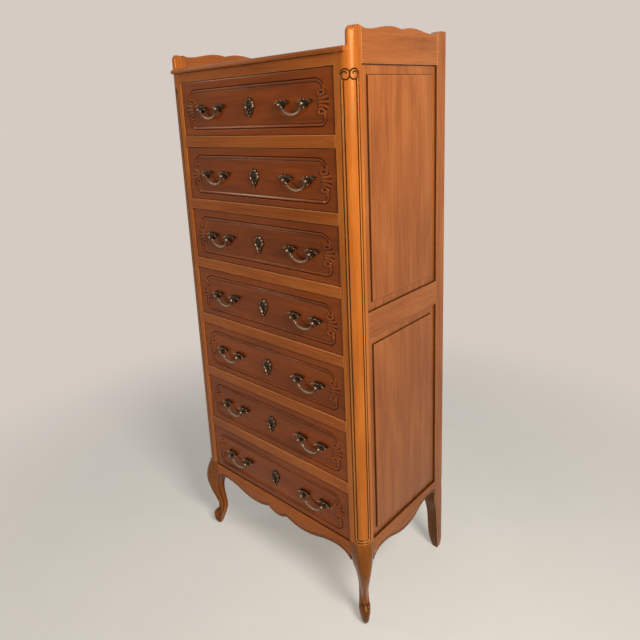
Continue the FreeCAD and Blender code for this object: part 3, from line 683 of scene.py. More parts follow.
def spline(knots: Sequence[float], values: Sequence[float], places: np.ndarray) -> np.ndarray:
    """Smooth curve through knots that never overshoots them.

    Args:
        knots: Rising places of the knots.
        values: Values at the knots.
        places: Where the curve is wanted.

    Returns:
        Values of the curve.
    """
    x, y = np.asarray(knots, float), np.asarray(values, float)
    step, slope = np.diff(x), np.diff(y) / np.diff(x)
    tangent = np.zeros(len(x))
    tangent[0], tangent[-1] = slope[0], slope[-1]
    same = slope[:-1] * slope[1:] > 0
    first = (2 * step[1:] + step[:-1])[same]
    second = (step[1:] + 2 * step[:-1])[same]
    tangent[1:-1][same] = (first + second) / (first / slope[:-1][same] + second / slope[1:][same])
    cell = np.clip(np.searchsorted(x, places) - 1, 0, len(x) - 2)
    t = np.clip((places - x[cell]) / step[cell], 0.0, 1.0)
    return ((2 * t ** 3 - 3 * t ** 2 + 1) * y[cell]
            + (t ** 3 - 2 * t ** 2 + t) * step[cell] * tangent[cell]
            + (3 * t ** 2 - 2 * t ** 3) * y[cell + 1]
            + (t ** 3 - t ** 2) * step[cell] * tangent[cell + 1])


def distances(places: np.ndarray, *paths: np.ndarray) -> np.ndarray:
    """Distance of each 2-D place from the nearest of several broken lines.

    Args:
        places: Array of shape (n, 2).
        paths: Corner points of each line, of shape (m, 2).

    Returns:
        Array of n distances.
    """
    nearest = np.full(len(places), np.inf)
    for path in paths:
        starts, ways = path[:-1], np.diff(path, axis=0)
        squares = np.maximum((ways ** 2).sum(axis=1), 1e-18)
        for first in range(0, len(ways), LINES_AT_ONCE):
            part = slice(first, first + LINES_AT_ONCE)
            gaps = places[:, None] - starts[None, part]
            share = np.clip((gaps * ways[None, part]).sum(axis=2) / squares[None, part], 0, 1)
            gaps -= share[..., None] * ways[None, part]
            nearest = np.minimum(nearest, (gaps ** 2).sum(axis=2).min(axis=1))
    return np.sqrt(nearest)


def smooth_path(points: Sequence[tuple[float, float]], steps: int = 7) -> np.ndarray:
    """Smooth curve through points.

    Args:
        points: Places in millimetres.
        steps: Steps from each point to the next.

    Returns:
        Closely spaced places in metres.
    """
    knots = np.asarray(points, float) * MM
    ends = np.concatenate([2 * knots[:1] - knots[1:2], knots, 2 * knots[-1:] - knots[-2:-1]])
    t = np.linspace(0, 1, steps, endpoint=False)[:, None]
    runs = [0.5 * (2 * b + (c - a) * t + (2 * a - 5 * b + 4 * c - d) * t ** 2
                   + (3 * b - a - 3 * c + d) * t ** 3)
            for a, b, c, d in zip(ends, ends[1:], ends[2:], ends[3:])]
    return np.concatenate(runs + [knots[-1:]])


@dataclass(frozen=True)
class CutLine:
    """Fine round-bottomed line, cut into a face and darkened with painted shade."""

    half: float = 1.8 * MM
    depth: float = 1.7 * MM

    def relief(self, away: np.ndarray) -> tuple[np.ndarray, np.ndarray]:
        """Height and painted shade of the face at a distance from the line.

        Args:
            away: Distances from the line.

        Returns:
            Heights above the face, and painted shade from 0 to 1.
        """
        share = np.clip(np.abs(away) / self.half, 0, 1)
        groove = 0.5 + 0.5 * np.cos(math.pi * share)
        # Painted shade in and beside the line.
        return -self.depth * groove, smooth_step(1.25, 0.55, np.abs(away) / self.half)


@dataclass(frozen=True)
class EdgeBead:
    """Round bead behind a rim of painted shade along an edge, with painted shade in the quirk behind the bead
    and painted highlight and wear on the bead.
    """

    wide: float = 4.6 * MM
    quirk: float = 2.8 * MM
    depth: float = 1.7 * MM
    # Paleness of the bead's crown: painted highlight and wear.
    rub: float = 0.35
    # Width of the rim of painted shade at the very edge.
    rim: float = 2.2 * MM
    crown: float = 1.5 * MM

    def relief(self, inset: np.ndarray) -> tuple[np.ndarray, np.ndarray]:
        """Height and painted light and wear of the face at a distance in from its edge.

        Args:
            inset: Distances from the edge.

        Returns:
            Heights, never above the face, and painted light and wear: painted shade above zero on the rim and
            in the quirk, below zero where the bead is paler with painted highlight and wear.
        """
        half = self.wide / 2
        # Painted shade on the outer rim.
        outside = smooth_step(1.1 * self.rim, 0.6 * self.rim, inset)
        inset = inset - self.rim
        across = np.clip((inset - half) / half, -1, 1)
        crown = self.crown * (np.sqrt(np.clip(1 - 0.94 * across ** 2, 0, 1)) - 1.0)
        share = np.clip((inset - self.wide) / self.quirk, 0, 1)
        groove = np.sin(math.pi * share)
        lift = np.where(inset < self.wide, crown, -self.depth * groove)
        glaze = np.where(inset < self.wide, -self.rub * (1 - np.abs(across)), 0.97 * groove ** 0.5)
        return lift, np.maximum(glaze, 0.92 * outside)

    @property
    def reach(self) -> float:
        """Width of the rim, the bead and its quirk."""
        return self.rim + self.wide + self.quirk


def add_piece(thing: bpy.types.Object, body: str, slot: str, *nodes: str) -> bpy.types.Object:
    """Put a finished piece on its body, in place of its nodes.

    Args:
        thing: The piece.
        body: CAD body that it moves with.
        slot: Material slot of the record; not used.
        nodes: CAD nodes that it stands for.

    Returns:
        The same piece.
    """
    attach(thing, body)
    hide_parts(*nodes)
    LOG.info("%s rides on %s", thing.name, body)
    return thing


@dataclass
class EasedCopy:
    """Copy of plain CAD boards with eased edges that are paler with painted highlight and wear, painted shade
    on faces turned given ways, and the grain along each board's length.
    """

    node: str
    woods: Finishes
    slot: str
    body: str = "carcase"
    ease: float = 1.0 * MM
    # Painted shade: faces turned along each direction are darkened by its amount.
    shades: Sequence[tuple[tuple[float, float, float], float]] = ()
    rub: float = 0.3
    sharp_degrees: float = 35.0
    flat_degrees: float = 1.0
    weld: float = 0.01 * MM

    def boards(self, form: bmesh.types.BMesh) -> list[list[bmesh.types.BMFace]]:
        """Sort the faces into the separate boards.

        Args:
            form: The welded mesh.

        Returns:
            The faces of each board.
        """
        left, found = set(form.faces), []
        while left:
            board, waiting = [], [left.pop()]
            while waiting:
                face = waiting.pop()
                board.append(face)
                near = {other for edge in face.edges for other in edge.link_faces} & left
                left -= near
                waiting.extend(near)
            found.append(board)
        return found

    def build(self, frame: dict) -> bpy.types.Object:
        """Copy the node's mesh and ease its edges.


        Returns:
            The piece.
        """
        form = bmesh.new()
        form.from_mesh(frame["nodes"][self.node].data)
        bmesh.ops.remove_doubles(form, verts=form.verts, dist=self.weld)
        flat = math.radians(self.flat_degrees)
        bmesh.ops.dissolve_limit(form, angle_limit=flat, verts=form.verts, edges=form.edges)
        glaze = form.faces.layers.float.new("glaze")
        # Painted shade on the faces that are turned along the given directions.
        for face in form.faces:
            face[glaze] = sum(dark for way, dark in self.shades if face.normal.dot(Vector(way)) > 0.9)
        grains = list(self.woods)
        for board in self.boards(form):
            places = np.array([vertex.co for face in board for vertex in face.verts])
            longest = int(np.ptp(places, axis=0).argmax())
            slot = next(number for number, grain in enumerate(grains) if grain.value == "xyz"[longest])
            for face in board:
                face.material_index = slot
        sharp = math.radians(self.sharp_degrees)
        edges = [edge for edge in form.edges if edge.is_manifold and edge.calc_face_angle() > sharp]
        eased = bmesh.ops.bevel(form, geom=edges, offset=self.ease, offset_type="OFFSET", segments=3,
                                profile=0.5, affect="EDGES", clamp_overlap=True)
        # Eased edges paler: painted highlight and wear.
        for face in eased["faces"]:
            face[glaze] = -self.rub
        for face in form.faces:
            face.smooth = True
        mesh = bpy.data.meshes.new(self.node + "_eased")
        form.to_mesh(mesh)
        form.free()
        for grain in grains:
            mesh.materials.append(self.woods[grain])
        thing = bpy.data.objects.new(self.node + "_eased", mesh)
        bpy.context.scene.collection.objects.link(thing)
        normals = thing.modifiers.new("normals", "WEIGHTED_NORMAL")
        normals.weight = 80
        return add_piece(thing, self.body, self.slot, self.node)


@dataclass(frozen=True)
class LegStation:
    """One cross-section of the front leg, in millimetres: the builder's own measure of the curve."""

    height: float
    inner_x: float
    inner_y: float
    edge: float
    nose: float
    round: float


LEG_STATIONS = (
    LegStation(0, 18.5, 18.5, 8.5, -13.0, 5.0),
    LegStation(3, 20, 20, 7.0, -10.5, 6.5),
    LegStation(10, 22.5, 22.5, 6.5, -5.5, 8.0),
    LegStation(22, 26, 26, 7.0, -2.2, 9.5),
    LegStation(34, 29.5, 29.5, 8.0, -1.5, 10.0),
    LegStation(44, 32, 32, 10.0, -6.0, 9.5),
    LegStation(52, 33.7, 33.7, 13.0, -14.5, 8.0),
    LegStation(60, 35, 35, 15.0, -19.5, 7.0),
    LegStation(72, 35.5, 35.5, 16.0, -20.3, 7.0),
    LegStation(90, 34.5, 34.5, 15.0, -15.0, 7.6),
    LegStation(110, 32.5, 32.5, 12.0, -7.5, 9.0),
    LegStation(130, 31.5, 31.5, 8.5, 0.0, 11.5),
    LegStation(150, 32, 32, 5.0, 5.5, 14.0),
    LegStation(166, 36, 34, 3.5, 8.7, 16.5),
    LegStation(182, 42, 36.5, 2.0, 9.5, 19.0),
    LegStation(200, 46, 39, 0.6, 7.2, 21.5),
    LegStation(218, 46, 39, 0.0, 1.8, 24.0),
    LegStation(234, 46, 39, 0.0, -4.8, 26.0),
    LegStation(250, 46, 39, 0.0, -11.6, 28.0),
)


@dataclass
class FrontPost:
    """Front post in one length: cabriole leg, rounded shaft with scrolled lines, and the ear on top."""

    side: Side
    half_width: float = 316 * MM
    post_width: float = 46 * MM
    post_depth: float = 39 * MM
    corner_round: float = 28 * MM
    leg_top: float = 250 * MM
    shoulder: float = 1445.5 * MM
    board_top: float = 1457 * MM
    ear_top: float = 1500 * MM
    ear_thickness: float = 20 * MM
    ear_round: float = 16 * MM
    ear_nose: float = 6.5 * MM
    ear_shares: Sequence[float] = (1.0, 0.975, 0.94, 0.89, 0.82, 0.73, 0.62, 0.5, 0.36, 0.2, 0.06)
    ear_ease: Sequence[float] = (1.6 * MM, 0.5 * MM, 0.1 * MM)
    crest_turn: float = 25 * MM
    crest_low: float = 2 * MM
    crest_drop: float = 2.5 * MM
    outer_lines: tuple[float, float] = (-23 * MM, 21.5 * MM)
    inner_lines: tuple[float, float] = (-15 * MM, 14.7 * MM)
    outer_low: float = 251 * MM
    inner_low: float = 259 * MM
    scroll_height: float = 1399 * MM
    scroll_radius: float = 11.4 * MM
    line_reach: float = 1.9 * MM
    line_margin: float = 4 * MM
    strip_half: float = 3.4 * MM
    strip_crown: float = 0.35 * MM
    strip_top: float = 1386 * MM
    outer_corner: float = 7 * MM
    inner_corner: float = 3 * MM
    scroll_turns: Sequence[float] = (0, 230, 505)
    scroll_shares: Sequence[float] = (1.0, 0.985, 0.40)
    toe_zone: tuple[float, float] = (0, 60 * MM)
    leg_zone: tuple[float, float] = (62.5 * MM, 240 * MM)
    bend_zone: tuple[float, float] = (242 * MM, 272 * MM)
    plain_zone: tuple[float, float] = (300 * MM, 1370 * MM)
    scroll_zone: tuple[float, float] = (1378 * MM, 1414 * MM)
    fine_step: float = 0.55 * MM
    plain_step: float = 40 * MM
    edge_step: float = 0.4 * MM
    round_step: float = 0.62 * MM
    closest: float = 0.14 * MM
    toe_height: float = 37 * MM
    toe_ring: float = 7.0 * MM
    toe_boss: float = 1.9 * MM
    toe_groove: float = 1.2 * MM
    toe_starts: tuple[float, float] = (58 * MM, 50 * MM)
    ankle_ring: float = 54.5 * MM
    ankle_cut: float = 1.1 * MM
    knee_height: float = 222 * MM
    knee_spread: float = 24 * MM
    bead_fades: tuple[float, float] = (184 * MM, 204 * MM)
    bead_starts: tuple[float, float] = (40 * MM, 56 * MM)
    # Painted shade over the whole leg, more on the toe, at the knee and in the ankle's ring.
    leg_glaze: float = 0.55
    toe_glaze: float = 0.25
    knee_glaze: float = 0.05
    ring_glaze: float = 0.4
    reveal: float = 12 * MM
    line: CutLine = CutLine()
    edge_bead: EdgeBead = EdgeBead(2.4 * MM, 2.6 * MM, 1.8 * MM, 0.4, 3.8 * MM)

    def __post_init__(self) -> None:
        """Work out the girth of the shaft and where the mesh lines run."""
        self.arc_half = self.corner_round * math.pi / 4
        self.girth_start = -self.arc_half - (self.post_width - self.corner_round)
        self.girth_end = self.arc_half + self.post_depth - self.corner_round
        self.columns = self.girth_columns()

    def girth_columns(self) -> np.ndarray:
        """Places of the mesh lines round the shaft, closest at the cut lines and the leg's edges.

        Returns:
            Rising girths from the front edge to the side edge, with 0 at the nose.
        """
        places = [np.arange(self.girth_start, self.girth_start + 9 * MM, self.edge_step),
                  np.arange(self.girth_start + 9.5 * MM, self.girth_end - 7.4 * MM, self.round_step),
                  np.linspace(self.girth_end - 7 * MM, self.girth_end, 19)]
        places += [line + np.linspace(-self.line_reach, self.line_reach, 13)
                   for line in (*self.outer_lines, *self.inner_lines)]
        joined = np.unique(np.round(np.concatenate(places), 6))
        joined = joined[np.concatenate([[True], np.diff(joined) > self.closest])]
        joined[-1] = self.girth_end
        return joined

    def rows(self) -> np.ndarray:
        """Heights of the mesh lines, closest at the foot, the lines' bends and the scrolls.

        Returns:
            Rising heights from the floor to the shoulder.
        """
        parts = [
            np.linspace(*self.toe_zone, 46), np.linspace(*self.leg_zone, 66),
            np.arange(*self.bend_zone, self.fine_step), np.arange(*self.plain_zone, self.plain_step),
            np.arange(*self.scroll_zone, self.fine_step), np.array([1424 * MM, self.shoulder]),
        ]
        return np.concatenate(parts)

    def cut_paths(self) -> list[np.ndarray]:
        """The two cut lines on the unrolled shaft; the outer one curls into a scroll at each end.

        Returns:
            Broken lines of (girth, height).
        """
        quarter = np.linspace(0, math.pi / 2, 14)
        inner_top = self.scroll_height - 0.95 * self.scroll_radius
        paths = []
        for lines, low, corner, top in (
                (self.outer_lines, self.outer_low, self.outer_corner, self.scroll_height),
                (self.inner_lines, self.inner_low, self.inner_corner, inner_top)):
            (left, right), bend = lines, low + corner
            aside, down = corner * np.cos(quarter), corner * np.sin(quarter)
            paths.append(np.concatenate([
                [[left, top]],
                np.stack([left + corner - aside, bend - down], axis=1),
                np.stack([right - corner + down, bend - aside], axis=1),
                [[right, top]],
            ]))
        turn = np.radians(np.linspace(self.scroll_turns[0], self.scroll_turns[-1], 100))
        shares = np.interp(np.degrees(turn), self.scroll_turns, self.scroll_shares)
        radius = self.scroll_radius * shares
        for start, hand in zip(self.outer_lines, (1, -1)):
            centre = start + hand * self.scroll_radius
            paths.append(np.stack([centre - hand * radius * np.cos(turn),
                                   self.scroll_height + radius * np.sin(turn)], axis=1))
        return paths

    def lines_relief(self, rows: np.ndarray) -> tuple[np.ndarray, np.ndarray]:
        """Height and painted light of the shaft's cut lines: painted shade in the lines, and a soft crown on
        the strip between them that is paler with painted highlight.

        Args:
            rows: Heights of the mesh lines.

        Returns:
            Two arrays of shape (rows, columns).
        """
        girth, height = np.meshgrid(self.columns, rows)
        places = np.stack([girth.ravel(), height.ravel()], axis=1)
        lift, glaze = np.zeros(len(places)), np.zeros(len(places))
        near = places[:, 1] > self.outer_low - self.line_margin
        paths = self.cut_paths()
        cut, dark = self.line.relief(distances(places[near], *paths))
        strip = 0.5 * (paths[0][1:-1] + paths[1][1:-1])
        strip = np.concatenate([[[strip[0, 0], self.strip_top]], strip, [[strip[-1, 0], self.strip_top]]])
        crown = np.sqrt(np.clip(1 - (distances(places[near], strip) / self.strip_half) ** 2, 0, 1))
        lift[near] = cut + self.strip_crown * (crown - 1) * (crown > 0)
        # Painted shade in the cut lines; painted highlight on the strip's crown.
        glaze[near] = np.where(dark > 0.02, dark, -0.35 * crown)
        return lift.reshape(girth.shape), glaze.reshape(girth.shape)

    def outline(self, station: LegStation) -> tuple[np.ndarray, np.ndarray, tuple[float, float, float]]:
        """Outer line of one cross-section at the mesh columns, with its outward normals.

        Args:
            station: The section, in millimetres.

        Returns:
            Points (x out from the corner, y back from the front), normals, and the lengths of the
            front flat, the side flat and the round between them.
        """
        radius, edge = station.round * MM, station.edge * MM
        centre_x = -(radius - station.nose * MM) * math.sqrt(0.5)
        centre = np.array([centre_x, -centre_x])
        front = np.array([-station.inner_x * MM, edge])
        back = np.array([-edge, station.inner_y * MM])
        touch = []
        for start, hand in ((front, -1), (back, 1)):
            way = centre - start
            far = np.linalg.norm(way)
            turn = math.atan2(way[1], way[0]) + hand * math.asin(min(radius / far, 1.0))
            reach = math.sqrt(max(far ** 2 - radius ** 2, 0))
            touch.append(start + reach * np.array([math.cos(turn), math.sin(turn)]))
        angles = [math.atan2(*(point - centre)[::-1]) for point in touch]
        if angles[1] < angles[0]:
            angles[1] += 2 * math.pi
        first = np.clip((self.columns - self.girth_start) / (-self.arc_half - self.girth_start), 0, 1)
        middle = np.clip((self.columns + self.arc_half) / (2 * self.arc_half), 0, 1)
        last = np.clip((self.columns - self.arc_half) / (self.girth_end - self.arc_half), 0, 1)
        turn = angles[0] + (angles[1] - angles[0]) * middle
        arc = centre + radius * np.stack([np.cos(turn), np.sin(turn)], axis=1)
        on_front = (self.columns < -self.arc_half)[:, None]
        on_side = (self.columns > self.arc_half)[:, None]
        points = np.where(on_front, front + first[:, None] * (touch[0] - front), arc)
        points = np.where(on_side, touch[1] + last[:, None] * (back - touch[1]), points)
        normals = np.stack([np.cos(turn), np.sin(turn)], axis=1)
        flats = [float(np.linalg.norm(point - end)) for point, end in zip(touch, (front, back))]
        return points, normals, (flats[0], flats[1], radius * (angles[1] - angles[0]))

    def station_at(self, height: float) -> LegStation:
        """Cross-section at a height, between the leg's stations or on the straight shaft.

        Args:
            height: Height above the floor.

        Returns:
            The section, in millimetres.
        """
        if height >= self.leg_top:
            return LEG_STATIONS[-1]
        knots = [station.height for station in LEG_STATIONS]
        place = np.array([height / MM])
        values = [float(spline(knots, [getattr(station, name) for station in LEG_STATIONS], place)[0])
                  for name in ("inner_x", "inner_y", "edge", "nose", "round")]
        return LegStation(height / MM, *values)

    def leg_relief(self, height: float,
                   flats: tuple[float, float, float]) -> tuple[np.ndarray, np.ndarray]:
        """Height and painted light and wear of the leg's edge beads and of the scrolled toe, along one row of
        columns.

        Args:
            height: Height above the floor.
            flats: Lengths of the front flat, the side flat and the round between them.

        Returns:
            Heights above the plain leg, and painted light and wear.
        """
        lift, glaze = np.zeros(len(self.columns)), np.zeros(len(self.columns))
        free = 1.0 - float(smooth_step(*self.bead_fades, np.array(height)))
        free *= float(smooth_step(*self.bead_starts, np.array(height)))
        toe = float(smooth_step(*self.toe_starts, np.array(height)))
        # Painted shade over the leg, deeper on the toe, at the knee and in the ankle's ring.
        glaze += self.leg_glaze + self.toe_glaze * toe
        glaze += swell(height, self.knee_glaze, self.knee_height, self.knee_spread)
        glaze += swell(height, self.ring_glaze, self.ankle_ring, 2.0 * MM)
        lift -= swell(height, self.ankle_cut, self.ankle_ring, 1.8 * MM)
        on_arc = (self.columns + self.arc_half) / (2 * self.arc_half) * flats[2]
        spans = (-self.arc_half - self.girth_start, self.girth_end - self.arc_half)
        insets = ((self.columns - self.girth_start) / spans[0] * flats[0],
                  (self.girth_end - self.columns) / spans[1] * flats[1])
        inward = (np.where(insets[0] < flats[0], flats[0] - insets[0], -on_arc),
                  np.where(insets[1] < flats[1], flats[1] - insets[1], on_arc - flats[2]))
        for inset, away in zip(insets, inward):
            bead, dark = self.edge_bead.relief(inset)
            near = (inset < self.edge_bead.reach) & (inset >= 0)
            lift = np.where(near, bead * free, lift)
            glaze = np.where(near, dark * free + glaze * (1 - free), glaze)
            ring = np.hypot(away - 3.0 * MM, height - self.toe_height) / self.toe_ring
            boss = np.sqrt(np.clip(1 - ring ** 2, 0, 1))
            groove = swell(ring, 1.0, 1.05, 0.16) + swell(ring, 0.8, 0.52, 0.11)
            inside = ring < 1.4
            lift = np.where(inside, self.toe_boss * boss - self.toe_groove * groove, lift)
            # Painted shade in the toe's grooves and round its boss.
            glaze = np.where(inside, np.clip(0.25 + groove, 0, 1), glaze)
        return lift, glaze

    def crest(self, depth: np.ndarray) -> np.ndarray:
        """Height of the ear's top at a depth behind the front, before its edges are rounded."""
        share = np.clip((depth - (self.post_depth - self.crest_turn)) / self.crest_turn, 0, 1)
        return self.ear_top - self.crest_low - self.crest_drop * share ** 2

    def in_frame(self, plan: np.ndarray, heights: np.ndarray, front: float) -> np.ndarray:
        """Turn plan places (out, back) and heights into points of the frame."""
        x = self.side.value * (self.half_width + plan[..., 0])
        return np.stack([x, front + plan[..., 1], heights], axis=-1)

    def build_shaft(self, shell: Shell, front: float) -> None:
        """Add the leg and the shaft.

        Args:
            shell: Mesh to add to.
            front: Y of the carcase's front plane.
        """
        rows = self.rows()
        lifts, painted_light_rows = self.lines_relief(rows)
        grid, tint = [], []
        for height, lift, glaze in zip(rows, lifts, painted_light_rows):
            station = self.station_at(height)
            points, normals, flats = self.outline(station)
            if height < self.outer_low - self.line_margin:
                lift, glaze = self.leg_relief(height, flats)
            outer = points + normals * lift[:, None]
            inside = np.array([[-station.inner_x * MM, station.inner_y * MM]])
            reveal = outer[:1] + np.array([[0, self.reveal], [0, self.reveal - 2 * MM]])
            loop = np.concatenate([outer, 0.5 * (outer[-1:] + inside), inside, reveal])
            grid.append(self.in_frame(loop, np.full(len(loop), height), front))
            # Painted shade on the post's inner faces and on the reveal beside the drawers.
            tint.append(np.concatenate([glaze, [0.45, 0.45, 0.45, 0.0]]))
        index = shell.lattice(np.array(grid), np.array(tint), wrap=True, flip=self.side is Side.LEFT)
        sole, cap = index[0].tolist(), index[-1].tolist()
        if self.side is Side.RIGHT:
            sole = sole[::-1]
        else:
            cap = cap[::-1]
        shell.add_faces([tuple(sole), tuple(cap)])

    def ear_loops(self) -> tuple[np.ndarray, np.ndarray, int]:
        """Plan of the ear with its sharp and its rounded front corner, point for point.

        Returns:
            The sharp loop, the rounded loop, and how many points of the loop lie on the domed edge.
        """
        wide, round_, nose = self.ear_thickness, self.corner_round, self.ear_nose
        centre = np.array([nose - wide,
                           round_ - math.sqrt((round_ - nose) ** 2 - (round_ - wide + nose) ** 2)])
        touch = math.atan2(round_ - centre[1], -round_ - centre[0])
        touch = math.atan2(-math.sin(touch), -math.cos(touch))
        turns = np.linspace(-math.pi, touch, 22)
        rounded = centre + nose * np.stack([np.cos(turns), np.sin(turns)], axis=1)
        corner = round_ - math.sqrt(round_ ** 2 - (round_ - wide) ** 2)
        sharp = rounded.copy()
        down = turns <= -math.pi / 2
        sharp[down] = np.stack([np.full(down.sum(), -wide),
                                np.linspace(centre[1], corner, down.sum())], axis=1)
        out = np.linspace(-wide, rounded[-1, 0], (~down).sum() + 1)[1:]
        sharp[~down] = np.stack([out, round_ - np.sqrt(round_ ** 2 - (out + round_) ** 2)], axis=1)
        rest_turn = np.linspace(touch, 0, 14)[1:]
        spokes = np.stack([np.cos(rest_turn), np.sin(rest_turn)], axis=1)
        arc = np.array([-round_, round_]) + round_ * spokes
        flank = np.stack([np.zeros(4), np.linspace(round_, self.post_depth, 5)[1:]], axis=1)
        back = np.stack([np.linspace(0, -wide, 10)[1:], np.full(9, self.post_depth)], axis=1)
        inner = np.stack([np.full(9, -wide), np.linspace(self.post_depth, centre[1], 11)[1:-1]], axis=1)
        tail = np.concatenate([arc, flank, back, inner])
        return np.concatenate([sharp, tail]), np.concatenate([rounded, tail]), len(rounded) + 5

    def build_ear(self, shell: Shell, front: float) -> None:
        """Add the ear beside the top board, domed over its inner face and its front end.

        Args:
            shell: Mesh to add to.
            front: Y of the carcase's front plane.
        """
        sharp, loop, domed = self.ear_loops()
        inner_face = np.array([[-self.ear_thickness, self.post_depth + 20 * MM]])
        dome_line = np.concatenate([inner_face, loop[:domed]])
        middle = np.array([-0.42 * self.ear_thickness, 0.56 * self.post_depth])
        rings = [sharp, sharp, loop]
        heights = [np.full(len(loop), self.shoulder), np.full(len(loop), self.board_top),
                   np.full(len(loop), self.board_top + 0.1 * MM)]
        for number, share in enumerate(self.ear_shares):
            ring = middle + share * (loop - middle)
            short = np.clip(self.ear_round - distances(ring, dome_line), 0, self.ear_round)
            drop = self.ear_round - np.sqrt(self.ear_round ** 2 - short ** 2)
            ease = self.ear_ease[number] if number < len(self.ear_ease) else 0.0
            rings.append(ring)
            heights.append(self.crest(ring[:, 1]) - np.maximum(drop, ease))
        grid = np.array([self.in_frame(ring, height, front) for ring, height in zip(rings, heights)])
        index = shell.lattice(grid, 0.0, wrap=True, flip=self.side is Side.LEFT)
        cap = index[-1].tolist()
        shell.add_faces([tuple(cap if self.side is Side.RIGHT else cap[::-1])])

    def build(self, palette: Palette, front: float) -> bpy.types.Object:
        """Build the whole post.

        Args:
            palette: Finishes.
            front: Y of the carcase's front plane.

        Returns:
            The piece.
        """
        shell = Shell()
        self.build_shaft(shell, front)
        self.build_ear(shell, front)
        node = f"{self.side.word}_front_post"
        thing = shell.piece(node + "_carved", [palette.post])
        return add_piece(thing, "carcase", "carcase_wood", node)


@dataclass
class Apron:
    """Shaped rail under the carcase, beaded along its lower edge, after the CAD solid's own outline."""

    node: str
    across: int
    bead: EdgeBead = EdgeBead(2.4 * MM, 2.6 * MM, 1.6 * MM, 0.1, 4.0 * MM)
    columns: int = 181
    plain_from: float = 11 * MM
    ledge: float = 1.0 * MM
    dark_ledge: float = 0.85

    def lower_edge(self, points: np.ndarray, places: np.ndarray) -> np.ndarray:
        """Height of the lower edge at places along the apron.

        Args:
            points: The solid's points.
            places: Places along its length.

        Returns:
            Heights.
        """
        along = points[:, self.across]
        low = points[:, 2] < points[:, 2].max() - 20 * MM
        order = np.argsort(along[low])
        return np.interp(places, along[low][order], points[:, 2][low][order])

    def build_one(self, shell: Shell, points: np.ndarray, outward: int) -> None:
        """Add one apron.

        Args:
            shell: Mesh to add to.
            points: Points of one solid.
            outward: Sign of the direction that its face looks along the thickness axis.
        """
        depth = 1 - self.across
        low, high = points.min(axis=0), points.max(axis=0)
        face = high[depth] if outward > 0 else low[depth]
        rear = low[depth] if outward > 0 else high[depth]
        places = np.linspace(low[self.across], high[self.across], self.columns)
        edge = self.lower_edge(points, places)
        slope = np.gradient(edge, places)
        normal = np.stack([-slope, np.ones_like(slope)], axis=1) / np.sqrt(1 + slope ** 2)[:, None]
        steps = np.concatenate([np.linspace(0, self.bead.reach, 32), [self.plain_from]])
        lift, glaze = self.bead.relief(steps)
        # Painted shade on the underside.
        rows, tints = [(places, edge, rear)], [0.35]
        for step, rise, dark in zip(steps, lift, glaze):
            along = np.clip(places + step * normal[:, 0], low[self.across], high[self.across])
            rows.append((along, np.minimum(edge + step * normal[:, 1], high[2]), face + outward * rise))
            tints.append(dark)
        top = np.full(len(places), high[2])
        rows += [(places, top - self.ledge, face),
                 (places, top - 0.3 * self.ledge, face - outward * 0.3 * self.ledge),
                 (places, top, face - outward * self.ledge), (places, top, rear)]
        # Top arris paler with painted highlight and wear; painted shade on the top ledge.
        tints += [0.0, -0.3, self.dark_ledge, self.dark_ledge]
        grid = np.zeros((len(rows), len(places), 3))
        for number, (along, heights, thick) in enumerate(rows):
            grid[number, :, self.across] = along
            grid[number, :, depth] = thick
            grid[number, :, 2] = heights
        turned = (outward > 0) == (depth == 1)
        index = shell.lattice(grid, np.repeat(tints, len(places)), flip=turned)
        quads = np.stack([index[-1, :-1], index[-1, 1:], index[0, 1:], index[0, :-1]], axis=1)
        shell.add_faces([tuple(quad[::-1] if turned else quad) for quad in quads.tolist()])
        for end in (index[:, 0].tolist(), index[:, -1].tolist()[::-1]):
            shell.add_faces([tuple(end[::-1] if turned else end)])

    def build(self, palette: Palette, frame: dict) -> bpy.types.Object:
        """Build the apron, or both aprons of a pair.

        Args:
            palette: Finishes.

        Returns:
            The piece.
        """
        points = np.array([vertex.co for vertex in frame["nodes"][self.node].data.vertices], float)
        shell = Shell()
        if self.across == 0:
            self.build_one(shell, points, -1)
        else:
            for hand in (-1, 1):
                self.build_one(shell, points[points[:, 0] * hand > 0], hand)
        wood = palette.rail if self.across == 0 else palette.cherry[Grain.DEPTH]
        thing = shell.piece(self.node + "_beaded", [wood])
        return add_piece(thing, "carcase", "carcase_wood", self.node)


